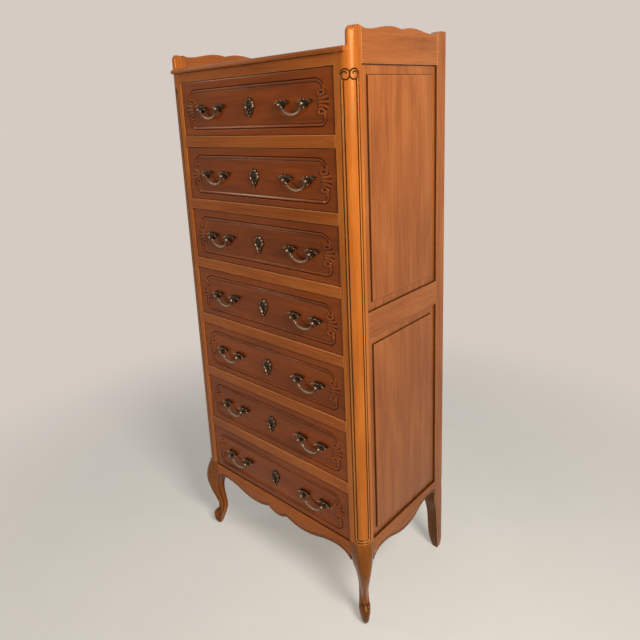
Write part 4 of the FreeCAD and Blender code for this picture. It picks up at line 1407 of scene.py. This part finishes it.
@dataclass
class RearBead:
    """Bead paler with painted highlight and wear, and a line of painted shade, along the outer front edge of
    a rear leg, below the side apron.

    Each of the two is its inset from the edge, its depth under the leg's side, its radius and its painted
    light and wear.
    """

    side: Side
    foot: float = 34 * MM
    # Paler bead: painted highlight and wear.
    bead: tuple[float, float, float, float] = (1.4 * MM, 1.0 * MM, 1.8 * MM, -0.55)
    # Thin dark strip of painted shade that stands for the shaded quirk.
    line: tuple[float, float, float, float] = (4.7 * MM, 1.3 * MM, 1.7 * MM, 0.95)
    rows: int = 60
    taper: float = 6 * MM

    def build(self, palette: Palette, frame: dict) -> bpy.types.Object:
        """Build both as thin round strips that are let into the leg's side.

        Args:
            palette: Finishes.

        Returns:
            The piece.
        """
        hand = self.side.value
        post, aprons = (np.array([vertex.co for vertex in frame["nodes"][node].data.vertices], float)
                        for node in (self.side.word + "_rear_post", "side_aprons"))
        outer = hand * (hand * post[:, 0]).max()
        near_front = post[:, 1] < 0.5 * (post[:, 1].min() + post[:, 1].max())
        edge = post[(np.abs(post[:, 0] - outer) < 0.1 * MM) & near_front]
        edge = edge[np.argsort(edge[:, 2])]
        top = aprons[aprons[:, 1] > aprons[:, 1].max() - 0.5 * MM, 2].min()
        heights = np.linspace(self.foot, top + 3 * MM, self.rows)
        front = np.interp(heights, edge[:, 2], edge[:, 1])
        shell = Shell()
        for inset, depth, radius, tint in (self.bead, self.line):
            path = np.stack([np.full(self.rows, outer - hand * depth), front + inset, heights], axis=1)
            ends = np.minimum(heights - heights[0], heights[-1] - heights)
            radii = radius * (0.6 + 0.4 * smooth_step(0, self.taper, ends))
            shell.tube(path, radii, 12, tint, up=(1, 0, 0))
        thing = shell.piece(self.side.word + "_rear_leg_bead", [palette.cherry[Grain.UPRIGHT]])
        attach(thing, "carcase")
        LOG.info("%s rides on carcase", thing.name)
        return thing


@dataclass
class RaisedPanel:
    """Loose side panel with a raised field: painted shade lies round the field's step and along the frame,
    and the field's edge is paler with painted highlight and wear.

    Places and heights without MM are in millimetres.
    """

    side: Side
    level: str
    tongue: float = 7.7 * MM
    field_raise: float = 4.5 * MM
    step_places: Sequence[float] = (-9, 21.2, 21.7, 22.3, 22.9, 24.4)
    step_heights: Sequence[float] = (0, 0, 0.2, 3.5, 4.2, 4.5)
    # Painted shade along the frame and at the foot of the field's step; the field's edge paler with painted
    # highlight and wear.
    glaze_places: Sequence[float] = (-0.6, 1.2, 3.0, 20.2, 21.2, 22.3, 22.9, 23.5, 25.5)
    glaze_amounts: Sequence[float] = (0.95, 0.85, 0.05, 0, 0.8, 0.97, 0.35, -0.25, 0)
    edge_lines: Sequence[float] = (0, 4, 7, 7.7, 8.3, 9.2, 10.6, 14, 20, 25, 26, 26.7, 27.4, 28.1, 28.8,
                                   29.3, 29.7, 30.1, 30.8, 31.8, 33.4, 37)

    def lines(self, low: float, high: float) -> np.ndarray:
        """Mesh lines from one edge of the panel to the other, closest at the field's step.

        Args:
            low: Place of the first edge.
            high: Place of the other edge.

        Returns:
            Rising places.
        """
        near = np.array(self.edge_lines) * MM
        plain = np.linspace(low + 50 * MM, high - 50 * MM, 9)
        return np.concatenate([low + near, plain, high - near[::-1]])

    def build(self, palette: Palette) -> bpy.types.Object:
        """Build the panel in its node's own box.

        Args:
            palette: Finishes.

        Returns:
            The piece.
        """
        node = f"{self.side.word}_{self.level}_panel"
        low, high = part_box(node)
        outer, inner = (high.x, low.x) if self.side is Side.RIGHT else (low.x, high.x)
        deep, tall = np.meshgrid(self.lines(low.y, high.y), self.lines(low.z, high.z))
        inset = np.minimum(np.minimum(deep - low.y, high.y - deep),
                           np.minimum(tall - low.z, high.z - tall))
        place = (inset - self.tongue) / MM
        lift = np.interp(place, self.step_places, self.step_heights) * MM - self.field_raise
        glaze = np.interp(place, self.glaze_places, self.glaze_amounts)
        turned = self.side is Side.LEFT
        shell = Shell()
        grid = np.stack([outer + self.side.value * lift, deep, tall], axis=-1)
        index = shell.lattice(grid, glaze, flip=turned)
        shell.close_back(index, 0, inner, turned)
        thing = shell.piece(node + "_fielded", [palette.cherry[Grain.UPRIGHT]])
        return add_piece(thing, "carcase", "panel_wood", node)


@dataclass
class DrawerFront:
    """Drawer front with a sunk, beaded cartouche between carved shells; one mesh serves every drawer.

    Pairs of sizes are for the lower and the upper half. Places without MM are in millimetres.
    """

    half_width: float = 269 * MM
    low: float = 1 * MM
    high: float = 142 * MM
    recess: float = 0.8 * MM
    thickness: float = 19.2 * MM
    cartouche_halves: tuple[float, float] = (241.5 * MM, 239 * MM)
    cartouche_low: float = 20.6 * MM
    cartouche_high: float = 118.4 * MM
    cartouche_rounds: tuple[float, float] = (17 * MM, 27 * MM)
    carving_height: float = 70 * MM
    carving_reach: float = 37 * MM
    carving_start: float = 208 * MM
    carving_rim: float = 2.2 * MM
    fine_step: float = 0.62 * MM
    bead_step: float = 0.42 * MM
    plain_step: float = 1.4 * MM
    bead_half: float = 6.8 * MM
    # Drop and tint of the two outer rings: painted shade on the outermost, the next paler with painted
    # highlight and wear.
    edge_rings: Sequence[tuple[float, float]] = ((1.7 * MM, 0.3), (0.5 * MM, -0.35))
    ground: float = -1.9 * MM
    rib: float = 2.9 * MM
    bead_places: Sequence[float] = (-6.6, -5.8, -5.3, -4.8, -4.4, -3.9, -2.4, -0.9, -0.2,
                                    0.6, 1.4, 2.0, 2.5, 3.0, 3.6, 4.3, 5.2)
    bead_heights: Sequence[float] = (-1.5, -1.7, -2.5, -2.9, -2.6, -2.05, -1.25, -0.45, -0.1,
                                     -0.1, -0.5, -1.2, -2.3, -2.9, -2.3, -0.7, 0)
    # Painted shade in the quirks; the crest paler with painted highlight and wear.
    bead_glaze: Sequence[float] = (0, 0.4, 0.9, 0.97, 0.7, 0.1, 0, 0, -0.12,
                                   -0.1, 0.05, 0.35, 0.8, 0.97, 0.9, 0.4, 0)
    lobes: Sequence[tuple[float, float, float, float]] = ((231, 88, 12, 9), (236, 74, 14.5, 9.5))
    strokes: Sequence[tuple[float, Sequence[tuple[float, float]]]] = (
        (3.4, ((239, 104), (238.4, 97.5), (235, 94.2), (230, 95.4), (224.6, 95.2), (221, 91.4),
               (221.4, 86.6), (225.4, 84.4))),
        (3.6, ((239.6, 91.4), (236.4, 86.8), (230.6, 84.8))),
        (4.2, ((247, 81.4), (240, 79), (232, 77.6), (225, 77.8))),
        (4.0, ((250.4, 70), (240, 70), (230, 70), (224, 70))),
    )

    def lines(self) -> tuple[np.ndarray, np.ndarray]:
        """Mesh lines across and up the front, closest where it is carved.

        Returns:
            Rising places across and heights.
        """
        edge, near = self.half_width, 211 * MM
        fine = np.arange(near, 256 * MM, self.fine_step)
        rest = np.array([259, 264, 267.2, 268.4]) * MM
        half = np.concatenate([np.linspace(5 * MM, near - 3 * MM, 26), fine, rest, [edge]])
        across = np.concatenate([-half[::-1], [0.0], half])
        line = self.bead_half
        up = np.concatenate([
            [self.low, self.low + 0.6 * MM, self.low + 1.8 * MM, 7 * MM, 12 * MM],
            np.arange(self.cartouche_low - line, self.cartouche_low + line, self.bead_step),
            np.arange(self.cartouche_low + line + 0.6 * MM, 41 * MM, self.plain_step),
            np.arange(41 * MM, 99.5 * MM, self.fine_step),
            np.arange(100 * MM, self.cartouche_high - line, self.plain_step),
            np.arange(self.cartouche_high - line, self.cartouche_high + line, self.bead_step),
            [128 * MM, 135 * MM, self.high - 1.8 * MM, self.high - 0.6 * MM, self.high],
        ])
        return across, up

    def bead_gap(self, across: np.ndarray, height: np.ndarray) -> np.ndarray:
        """Distance from the bead's middle line, below zero inside the cartouche.

        Args:
            across: Distances from the drawer's middle.
            height: Heights above the opening's floor.

        Returns:
            Signed distances.
        """
        middle = 0.5 * (self.cartouche_low + self.cartouche_high)
        upper = height > middle
        half, corner = (np.where(upper, sizes[1], sizes[0])
                        for sizes in (self.cartouche_halves, self.cartouche_rounds))
        x = across - (half - corner)
        z = np.abs(height - middle) - (0.5 * (self.cartouche_high - self.cartouche_low) - corner)
        outside = np.hypot(np.maximum(x, 0), np.maximum(z, 0))
        return outside + np.minimum(np.maximum(x, z), 0) - corner

    def carve(self, places: np.ndarray, lift: np.ndarray, glaze: np.ndarray) -> None:
        """Carve the fluted shell between two scrolled leaves, changing lift and painted light in place.

        Args:
            places: Distances from the middle and heights, of shape (n, 2).
            lift: Heights of the face.
            glaze: Painted light and wear of the face.
        """
        aside = np.abs(places[:, 1] - self.carving_height)
        near = (places[:, 0] > self.carving_start) & (aside < self.carving_reach)
        spots = places[near].copy()
        spots[:, 1] = self.carving_height + np.abs(spots[:, 1] - self.carving_height)
        gap = np.full(len(spots), np.inf)
        for x, z, wide, tall in self.lobes:
            share = np.hypot((spots[:, 0] - x * MM) / (wide * MM),
                             (spots[:, 1] - z * MM) / (tall * MM))
            gap = np.minimum(gap, (share - 1) * min(wide, tall) * MM)
        ribs = np.zeros(len(spots))
        for half, stroke in self.strokes:
            share = distances(spots, smooth_path(stroke)) / (half * MM)
            ribs = np.maximum(ribs, np.sqrt(np.clip(1 - share ** 2, 0, 1)))
        inside = (gap < 0) | (ribs > 0)
        rim = np.clip(1 - gap / self.carving_rim, 0, 1) * ~inside
        sunk = np.minimum(lift[near], self.ground * rim)
        carved = np.where(inside, self.ground + self.rib * ribs, sunk)
        # Painted shade in the carving's ground and round its outline; rib tops barely paler.
        rounded = 0.85 - 0.75 * smooth_step(0.15, 0.65, ribs) - 0.15 * smooth_step(0.65, 0.95, ribs)
        shade = np.where(inside, rounded, np.maximum(glaze[near], 0.8 * rim ** 0.7))
        lift[near] = np.where(inside | (rim > 0), carved, lift[near])
        glaze[near] = np.where(inside | (rim > 0.02), shade, glaze[near])

    def build_mesh(self, palette: Palette) -> bpy.types.Mesh:
        """Build the front about its middle, standing on the opening's floor, with its face at y = 0.

        Args:
            palette: Finishes.

        Returns:
            The mesh.
        """
        across, up = self.lines()
        wide, tall = np.meshgrid(across, up)
        places = np.stack([np.abs(wide).ravel(), tall.ravel()], axis=1)
        gap = self.bead_gap(places[:, 0], places[:, 1]) / MM
        lift = np.interp(gap, self.bead_places, self.bead_heights) * MM
        glaze = np.interp(gap, self.bead_places, self.bead_glaze)
        self.carve(places, lift, glaze)
        lift, glaze = lift.reshape(wide.shape), glaze.reshape(wide.shape)
        for ring, (drop, rub) in enumerate(self.edge_rings):
            edge = np.zeros(wide.shape, bool)
            edge[ring, ring:-ring or None] = edge[-1 - ring, ring:-ring or None] = True
            edge[ring:-ring or None, ring] = edge[ring:-ring or None, -1 - ring] = True
            lift = np.where(edge, -drop, lift)
            glaze = np.where(edge, rub, glaze)
        shell = Shell()
        index = shell.lattice(np.stack([wide, -lift, tall], axis=-1), glaze)
        # Painted shade on the front's edges and back.
        shell.close_back(index, 1, self.thickness, False, 0.6)
        thing = shell.piece("drawer_front_carved", [palette.drawer])
        mesh = thing.data
        bpy.data.objects.remove(thing)
        return mesh


@dataclass
class Casting:
    """Bronze fittings of the drawers: leaf rosettes, bails and escutcheons.

    Places, radii and swells without MM are in millimetres. The plate's collar, rim and beads are each
    a height, and a middle and a half width as shares of the way from the keyhole to the edge.
    """

    pivot_spacing: float = 72 * MM
    sunk: float = 2.0 * MM
    ring: float = 31.5 * MM
    drop: float = 23.5 * MM
    lean: float = 5.4 * MM
    bail_radius: float = 2.2
    bail_swell: float = 1.0
    knot_swell: float = 0.9
    knot_half: float = 2.6
    collar_places: tuple[float, float] = (-6.5, 6.5)
    shoulder_places: tuple[float, float] = (-30, 30)
    ring_swell: float = 0.6
    pin_radius: float = 1.5 * MM
    eye_radius: float = 2.4 * MM
    slot_half: float = 1.2 * MM
    slot_drop: float = 9 * MM
    stem_places: Sequence[float] = (2.0, -2.0, -6.0, -9.0, -11.8, -14.1, -16.3, -17.6, -18.2)
    stem_radii: Sequence[float] = (5.2, 5.0, 3.3, 2.7, 3.2, 3.4, 3.2, 2.1, 0.6)
    stem_wear: Sequence[float] = (0, 0, 0, 0.1, 0.3, 0.5, 0.6, 0.7, 0.7)
    plate_tall: float = 23.5 * MM
    plate_ground: float = 0.9
    plate_collar: tuple[float, float, float] = (1.4, 0.12, 0.08)
    plate_rim: tuple[float, float, float] = (3.0, 0.80, 0.13)
    plate_bead: tuple[float, float, float] = (0.9, 0.78, 0.14)
    plate_beads: int = 10
    petals: Sequence[tuple[float, float, float, float]] = (
        (0.0, -9.0, 4.4, 0.0), (-20.0, 4.2, 4.4, 2.2), (20.0, 4.2, 4.4, -2.2), (-13.0, 8.8, 4.3, 1.2),
        (13.0, 8.8, 4.3, -1.2), (0.0, 9.6, 5.0, 0.0),
    )
    petal_places: Sequence[float] = (0, 0.25, 0.6, 0.85, 1.0)
    petal_widths: Sequence[float] = (0.6, 0.8, 1.0, 0.78, 0.25)
    petal_base: float = 3.4
    petal_dome: float = 2.0
    petal_rise: float = 1.6
    petal_curl: float = 2.4
    petal_vein: float = 0.4
    plate_heights: Sequence[float] = (-23.5, -20, -15, -10, -5, 0, 6, 12, 17, 21, 23.5)
    plate_halves: Sequence[float] = (1.2, 3.2, 6.0, 9.2, 12.6, 14.8, 15.4, 14.2, 11.0, 7.0, 3.0)

    def petal(self, shell: Shell, spot: tuple[float, float, float, float], centre: float,
              tilt: float) -> None:
        """Add one petal, which rises from the pivot and curls forward at its tip.

        Args:
            shell: Mesh to add to.
            spot: Place of the tip across and up, half width and sideways bend, in millimetres.
            centre: Place of the pivot across.
            tilt: Turn of the leaf in degrees.
        """
        tip_x, tip_z, half, bend = spot
        u, v = np.meshgrid(np.linspace(-1, 1, 9), np.linspace(0, 1, 11))
        length = math.hypot(tip_x, tip_z)
        way_x, way_z = tip_x / length, tip_z / length
        aside = half * u * np.interp(v, self.petal_places, self.petal_widths)
        aside = aside + bend * np.sin(math.pi * v)
        x, z = way_x * length * v + way_z * aside, way_z * length * v - way_x * aside
        dome = np.sqrt(1 - 0.88 * u ** 2)
        lift = self.petal_base + dome * (self.petal_dome + self.petal_rise * v)
        lift += self.petal_curl * smooth_step(0.55, 1.0, v) * dome
        lift += self.petal_vein * np.cos(2 * math.pi * u) * v
        turn = math.radians(tilt)
        grid = np.stack([centre + (x * math.cos(turn) - z * math.sin(turn)) * MM, -lift * MM,
                         (x * math.sin(turn) + z * math.cos(turn)) * MM], axis=-1)
        wear = np.clip(0.75 * smooth_step(6.6, 9.0, lift) * dome, 0, 1)
        index = shell.lattice(grid, wear)
        shell.close_back(index, 1, self.sunk, False)

    def rosettes(self, centres: Sequence[float], tilts: Sequence[float]) -> Shell:
        """Four leaves of one drawer, each with the post that carries the bail.

        Args:
            centres: Places of the pivots across.
            tilts: Turn of each leaf in degrees, as it was nailed on.

        Returns:
            Their mesh, about the pivots' height and the drawer's face.
        """
        shell = Shell()
        stem, radii = np.array(self.stem_places) * MM, np.array(self.stem_radii) * MM
        worn = np.array(self.stem_wear)
        for centre, tilt in zip(centres, tilts):
            for spot in self.petals:
                self.petal(shell, spot, centre, tilt)
            path = np.stack([np.full(len(stem), centre), stem, np.zeros(len(stem))], axis=1)
            shell.tube(path, radii, 14, worn, up=(1, 0, 0))
        return shell

    def bail(self) -> Shell:
        """Bail that hangs from its pivot line, with a knot between two collars at its lowest point.

        Returns:
            Its mesh, about the middle of the pivot line.
        """
        shell = Shell()
        angle = np.radians(np.linspace(-8, 188, 111))
        hang = 1 - (1 - np.clip(np.sin(angle), 0, 1)) ** 3
        path = np.stack([-self.ring * np.cos(angle), self.lean * hang,
                         -self.drop * np.sin(angle)], axis=1)
        along = self.ring * (angle - math.pi / 2) / MM
        radii = self.bail_radius + self.bail_swell * np.cos((angle - math.pi / 2) * 0.9)
        radii += swell(along, self.knot_swell, 0.0, self.knot_half)
        for places, half in ((self.collar_places, 1.0), (self.shoulder_places, 2.0)):
            for place in places:
                radii += swell(along, self.ring_swell, place, half)
        wear = 0.1 + 0.42 * smooth_step(0.3, 1.0, np.sin(angle))
        shell.tube(path, radii * MM, 14, wear)
        for hand in (-1, 1):
            start, end = hand * self.ring, hand * (self.pivot_spacing / 2)
            pin = np.stack([np.linspace(start, end, 4), np.zeros(4), np.zeros(4)], axis=1)
            shell.tube(pin, np.full(4, self.pin_radius), 10, 0.2)
        return shell

    def keyhole_outline(self, angles: np.ndarray) -> np.ndarray:
        """Outline of the keyhole: a round eye over a slot.

        Args:
            angles: Turns round the eye's middle.

        Returns:
            Places across and up, of shape (n, 2).
        """
        eye, slot, drop = self.eye_radius, self.slot_half, self.slot_drop
        x, z = eye * np.cos(angles), eye * np.sin(angles)
        lower = np.sin(angles) < -0.62
        stretched = z - (drop - eye) * np.clip((-np.sin(angles) - 0.62) / 0.3, 0, 1)
        return np.stack([np.where(lower, np.clip(x, -slot, slot), x),
                         np.where(lower, stretched, z)], axis=1)

    def escutcheon(self) -> Shell:
        """Oval shield with a thick rolled rim, a pointed tail and a collar round its keyhole.

        Returns:
            Its mesh, about the keyhole's eye, on the drawer's face.
        """
        shell = Shell()
        count, rings = 96, 26
        angles = np.linspace(0, 2 * math.pi, count, endpoint=False)
        lobes = 1 + 0.05 * np.cos(self.plate_beads * angles)
        tall = self.plate_tall * np.sin(angles)
        halves = np.interp(tall / MM, self.plate_heights, self.plate_halves) * MM
        wide = halves * np.clip(6 * np.cos(angles), -1, 1)
        outer = np.stack([wide * lobes, np.clip(tall * lobes, -self.plate_tall, self.plate_tall)], axis=1)
        hole = self.keyhole_outline(angles)
        shares = np.linspace(0, 1, rings)
        plan = (1 - shares)[:, None, None] * hole[None] + shares[:, None, None] * outer[None]
        share = np.repeat(shares[:, None], count, axis=1)
        collar = swell(share, *self.plate_collar)
        rim = swell(share, *self.plate_rim, power=4)
        beads = np.cos(self.plate_beads * angles)[None] * swell(share, *self.plate_bead)
        lift = (self.plate_ground + collar + rim + beads) * np.clip((1 - share) * 9 + 0.25, 0, 1) * MM
        grid = np.stack([plan[..., 0], -lift, plan[..., 1]], axis=-1)
        wear = 0.4 * smooth_step(3.2 * MM, 4.5 * MM, lift)
        index = shell.lattice(grid, wear, wrap=True, flip=True)
        foot = np.stack([outer[:, 0], np.full(count, self.sunk), outer[:, 1]], axis=1)
        # The keyhole's floor, a disc just behind the plate in the painted-shadow finish, stands for the
        # hole's shade.
        floor = np.stack([hole[:, 0], np.full(count, 1.0 * MM), hole[:, 1]], axis=1)
        for ring, edge, inside in ((foot, index[-1], False), (floor, index[0], True)):
            below = shell.add_points(ring, 0.0) + np.arange(count)
            walls = np.stack([edge, np.roll(edge, -1), np.roll(below, -1), below], axis=1)
            shell.add_faces([tuple(quad if inside else quad[::-1]) for quad in walls.tolist()])
            if inside:
                shell.add_faces([tuple(below[::-1].tolist())], 1)
        return shell


@dataclass
class Drawer:
    """One drawer: its carved front, its box, and its fittings."""

    number: int
    tilts: Sequence[float]
    casting: Casting = field(default_factory=Casting)

    @property
    def label(self) -> str:
        """Name of the drawer's body."""
        return f"drawer_{self.number}"

    def place(self, mesh: bpy.types.Mesh, name: str, spot: Sequence[float], body: str, slot: str,
              node: str) -> bpy.types.Object:
        """Put a shared mesh in its place on a body.

        Args:
            mesh: The mesh.
            name: Name of the piece.
            spot: Place of its own origin.
            body: CAD body that it moves with.
            slot: Material slot of the record.
            node: CAD node that it stands for.

        Returns:
            The piece.
        """
        thing = bpy.data.objects.new(name, mesh)
        bpy.context.scene.collection.objects.link(thing)
        thing.location = spot
        return add_piece(thing, body, slot, node)

    def build(self, palette: Palette, frame: dict, meshes: dict[str, bpy.types.Mesh]) -> None:
        """Build every piece of the drawer.

        Args:
            palette: Finishes.
            meshes: Shared meshes of the front, the bail and the escutcheon.
        """
        low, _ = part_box(self.label + "_front")
        face = low.y + DrawerFront.recess
        floor = low.z - DrawerFront.low
        self.place(meshes["front"], self.label + "_front_carved", (0, face, floor), self.label,
                   "drawer_wood", self.label + "_front")
        pivots = {joint["name"]: Vector(joint["pos_m"]) for joint in frame["joints"]
                  if joint["type"] == "hinge"}
        centres, height = [], 0.0
        for side in Side:
            name = f"{self.label}_{side.word}_bail"
            pivot = pivots[name + "_swing"]
            height = pivot.z
            self.place(meshes["bail"], name + "_cast", pivot, name, "bronze", name)
            centres += [pivot.x + end * self.casting.pivot_spacing / 2 for end in (-1, 1)]
        shell = self.casting.rosettes(centres, self.tilts)
        leaves = shell.piece(self.label + "_rosettes_cast", [palette.bronze], "wear")
        leaves.location = (0, face, height)
        add_piece(leaves, self.label, "bronze", self.label + "_rosettes")
        plate_low, plate_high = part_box(self.label + "_escutcheon")
        middle = 0.5 * (plate_low.z + plate_high.z)
        self.place(meshes["escutcheon"], self.label + "_escutcheon_cast", (0, face, middle), self.label,
                   "bronze", self.label + "_escutcheon")
        EasedCopy(self.label + "_box", palette.plain, "inner_wood", self.label, 0.7 * MM).build(frame)


@dataclass(frozen=True)
class Lamp:
    """One soft area lamp: where it stands, what it faces, the size of its face, its watts and colour."""

    name: str
    place: tuple[float, float, float]
    aim: tuple[float, float, float]
    size: tuple[float, float]
    power: float
    colour: Colour

    def build(self) -> None:
        """Add the lamp to the scene."""
        data = bpy.data.lights.new(self.name, "AREA")
        data.shape = "RECTANGLE"
        data.size, data.size_y = self.size
        data.energy = self.power
        data.color = self.colour
        thing = bpy.data.objects.new(self.name, data)
        bpy.context.scene.collection.objects.link(thing)
        thing.location = self.place
        way = Vector(self.aim) - Vector(self.place)
        thing.rotation_euler = way.to_track_quat("-Z", "Y").to_euler()


@dataclass
class Studio:
    """Plain pale floor, soft lights, and a camera at the photograph's angle."""

    focal_pixels: float = 577.95
    centre_pixels: tuple[float, float] = (293.22, 252.68)
    image: int = 640
    sensor: float = 36.0
    eye: tuple[float, float, float] = (1.0789, -0.9818, 1.3378)
    right: tuple[float, float, float] = (0.72498, 0.68661, -0.0543)
    up: tuple[float, float, float] = (-0.12879, 0.21267, 0.96866)
    forward: tuple[float, float, float] = (-0.67656, 0.69531, -0.24261)
    sky: Colour = (1.0, 0.97, 0.93)
    sky_strength: float = 0.08
    floor_half: float = 30.0
    floor_lines: int = 61
    lamps: Sequence[Lamp] = (
        Lamp("window", (1.72, -0.66, 1.85), (0.3, -0.1, 1.2), (0.7, 1.0), 40, (1.0, 0.95, 0.88)),
        Lamp("left", (-1.5, -1.15, 2.17), (0, -0.18, 1.0), (0.34, 0.36), 3.2, (1.0, 0.97, 0.93)),
        Lamp("low", (0.3, -1.8, 0.25), (0, -0.18, 0.35), (1.2, 0.4), 2.5, (1.0, 0.93, 0.85)),
    )

    def camera(self, front: float) -> None:
        """Add the camera.

        Args:
            front: Y of the carcase's front plane, from which the eye's place is measured.
        """
        data = bpy.data.cameras.new("camera")
        data.sensor_width = self.sensor
        data.lens = self.focal_pixels * self.sensor / self.image
        data.shift_x = (self.image / 2 - self.centre_pixels[0]) / self.image
        data.shift_y = (self.centre_pixels[1] - self.image / 2) / self.image
        thing = bpy.data.objects.new("camera", data)
        bpy.context.scene.collection.objects.link(thing)
        turn = Matrix([self.right, self.up, [-way for way in self.forward]]).transposed().to_4x4()
        eye = Vector(self.eye) + Vector((0, front, 0))
        thing.matrix_world = Matrix.Translation(eye) @ turn
        bpy.context.scene.camera = thing

    def world(self) -> None:
        """Give the world a soft pale light, and a plain pale backdrop where the camera sees it."""
        world = bpy.data.worlds.new("studio")
        bpy.context.scene.world = world
        world.use_nodes = True
        nodes, links = world.node_tree.nodes, world.node_tree.links
        nodes.clear()
        light, seen = nodes.new("ShaderNodeBackground"), nodes.new("ShaderNodeBackground")
        light.inputs["Color"].default_value = (*self.sky, 1.0)
        light.inputs["Strength"].default_value = self.sky_strength
        seen.inputs["Color"].default_value = (*FloorFinish.backdrop, 1.0)
        seen.inputs["Strength"].default_value = 1.0
        mix, output = nodes.new("ShaderNodeMixShader"), nodes.new("ShaderNodeOutputWorld")
        links.new(seen_rays(nodes, links).outputs[0], mix.inputs[0])
        links.new(light.outputs[0], mix.inputs[1])
        links.new(seen.outputs[0], mix.inputs[2])
        links.new(mix.outputs[0], output.inputs["Surface"])

    def floor(self) -> None:
        """Lay the pale floor."""
        shell = Shell()
        lines = np.linspace(-self.floor_half, self.floor_half, self.floor_lines)
        wide, deep = np.meshgrid(lines, lines)
        shell.lattice(np.stack([wide, deep, np.zeros_like(wide)], axis=-1))
        thing = shell.piece("floor", [FloorFinish().material()])

    def build(self, front: float) -> None:
        """Set up the whole studio.

        Args:
            front: Y of the carcase's front plane.
        """
        bpy.context.scene.view_settings.view_transform = "Standard"
        self.camera(front)
        self.world()
        self.floor()
        for lamp in self.lamps:
            lamp.build()


@dataclass
class Chest:
    """The whole chest, dressed body by body."""

    tilts: Sequence[Sequence[float]] = (
        (-16, 4, 2, -3), (3, -2, -4, 5), (-5, 2, 3, -2), (2, 4, -3, -6), (-3, -5, 4, 2), (6, -2, -2, 3),
        (-4, 3, 5, -4),
    )

    def eased(self, palette: Palette) -> list[EasedCopy]:
        """List the plain pieces of the carcase that only need eased edges.

        Args:
            palette: Finishes.

        Returns:
            The copies to build.
        """
        cherry, plain = palette.cherry, palette.plain
        front = {**cherry, Grain.ACROSS: palette.rail}
        # Painted shade on the middle rails' upper and lower faces, on the rear posts' front faces and under
        # the top board.
        shaded_ledges = (((0, 0, 1), 0.85), ((0, 0, -1), 0.85))
        shaded_front = (((0, -1, 0), 0.75),)
        posts = [EasedCopy(side.word + "_rear_post", cherry, "carcase_wood", shades=shaded_front)
                 for side in Side]
        galleries = [EasedCopy(side.word + "_gallery", cherry, "carcase_wood", ease=1.6 * MM)
                     for side in Side]
        return posts + galleries + [
            EasedCopy("side_middle_rails", cherry, "carcase_wood", shades=shaded_ledges),
            EasedCopy("front_rails", front, "carcase_wood", ease=1.8 * MM, rub=0.5),
            EasedCopy("top_board", front, "carcase_wood", ease=1.6 * MM, shades=(((0, 0, -1), 0.9),)),
            EasedCopy("back_panel", plain, "inner_wood"),
            EasedCopy("back_rails", plain, "inner_wood"),
            EasedCopy("drawer_runners", plain, "inner_wood", ease=0.7 * MM),
        ]

    def build(self, frame: dict) -> None:
        """Build every piece.
        """
        palette = Palette()
        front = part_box("front_apron")[0].y
        for copy in self.eased(palette):
            copy.build(frame)
        for side in Side:
            FrontPost(side).build(palette, front)
            RearBead(side).build(palette, frame)
            for level in ("upper", "lower"):
                RaisedPanel(side, level).build(palette)
        Apron("front_apron", 0).build(palette, frame)
        Apron("side_aprons", 1).build(palette, frame)
        casting = Casting()
        meshes = {"front": DrawerFront().build_mesh(palette)}
        plate_metal_and_shadow = [palette.bronze, palette.keyhole]
        for key, shell, materials in (("bail", casting.bail(), [palette.bronze]),
                                      ("escutcheon", casting.escutcheon(), plate_metal_and_shadow)):
            thing = shell.piece(key + "_cast", materials, "wear")
            meshes[key] = thing.data
            bpy.data.objects.remove(thing)
        for number in range(1, DRAWERS + 1):
            Drawer(number, self.tilts[number - 1]).build(palette, frame, meshes)
        Studio().build(front)


def main() -> None:
    logging.basicConfig(level=logging.INFO, format="%(name)s: %(message)s")
    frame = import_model()
    Chest().build(frame)
    bpy.context.view_layer.update()


if __name__ == "__main__":
    main()
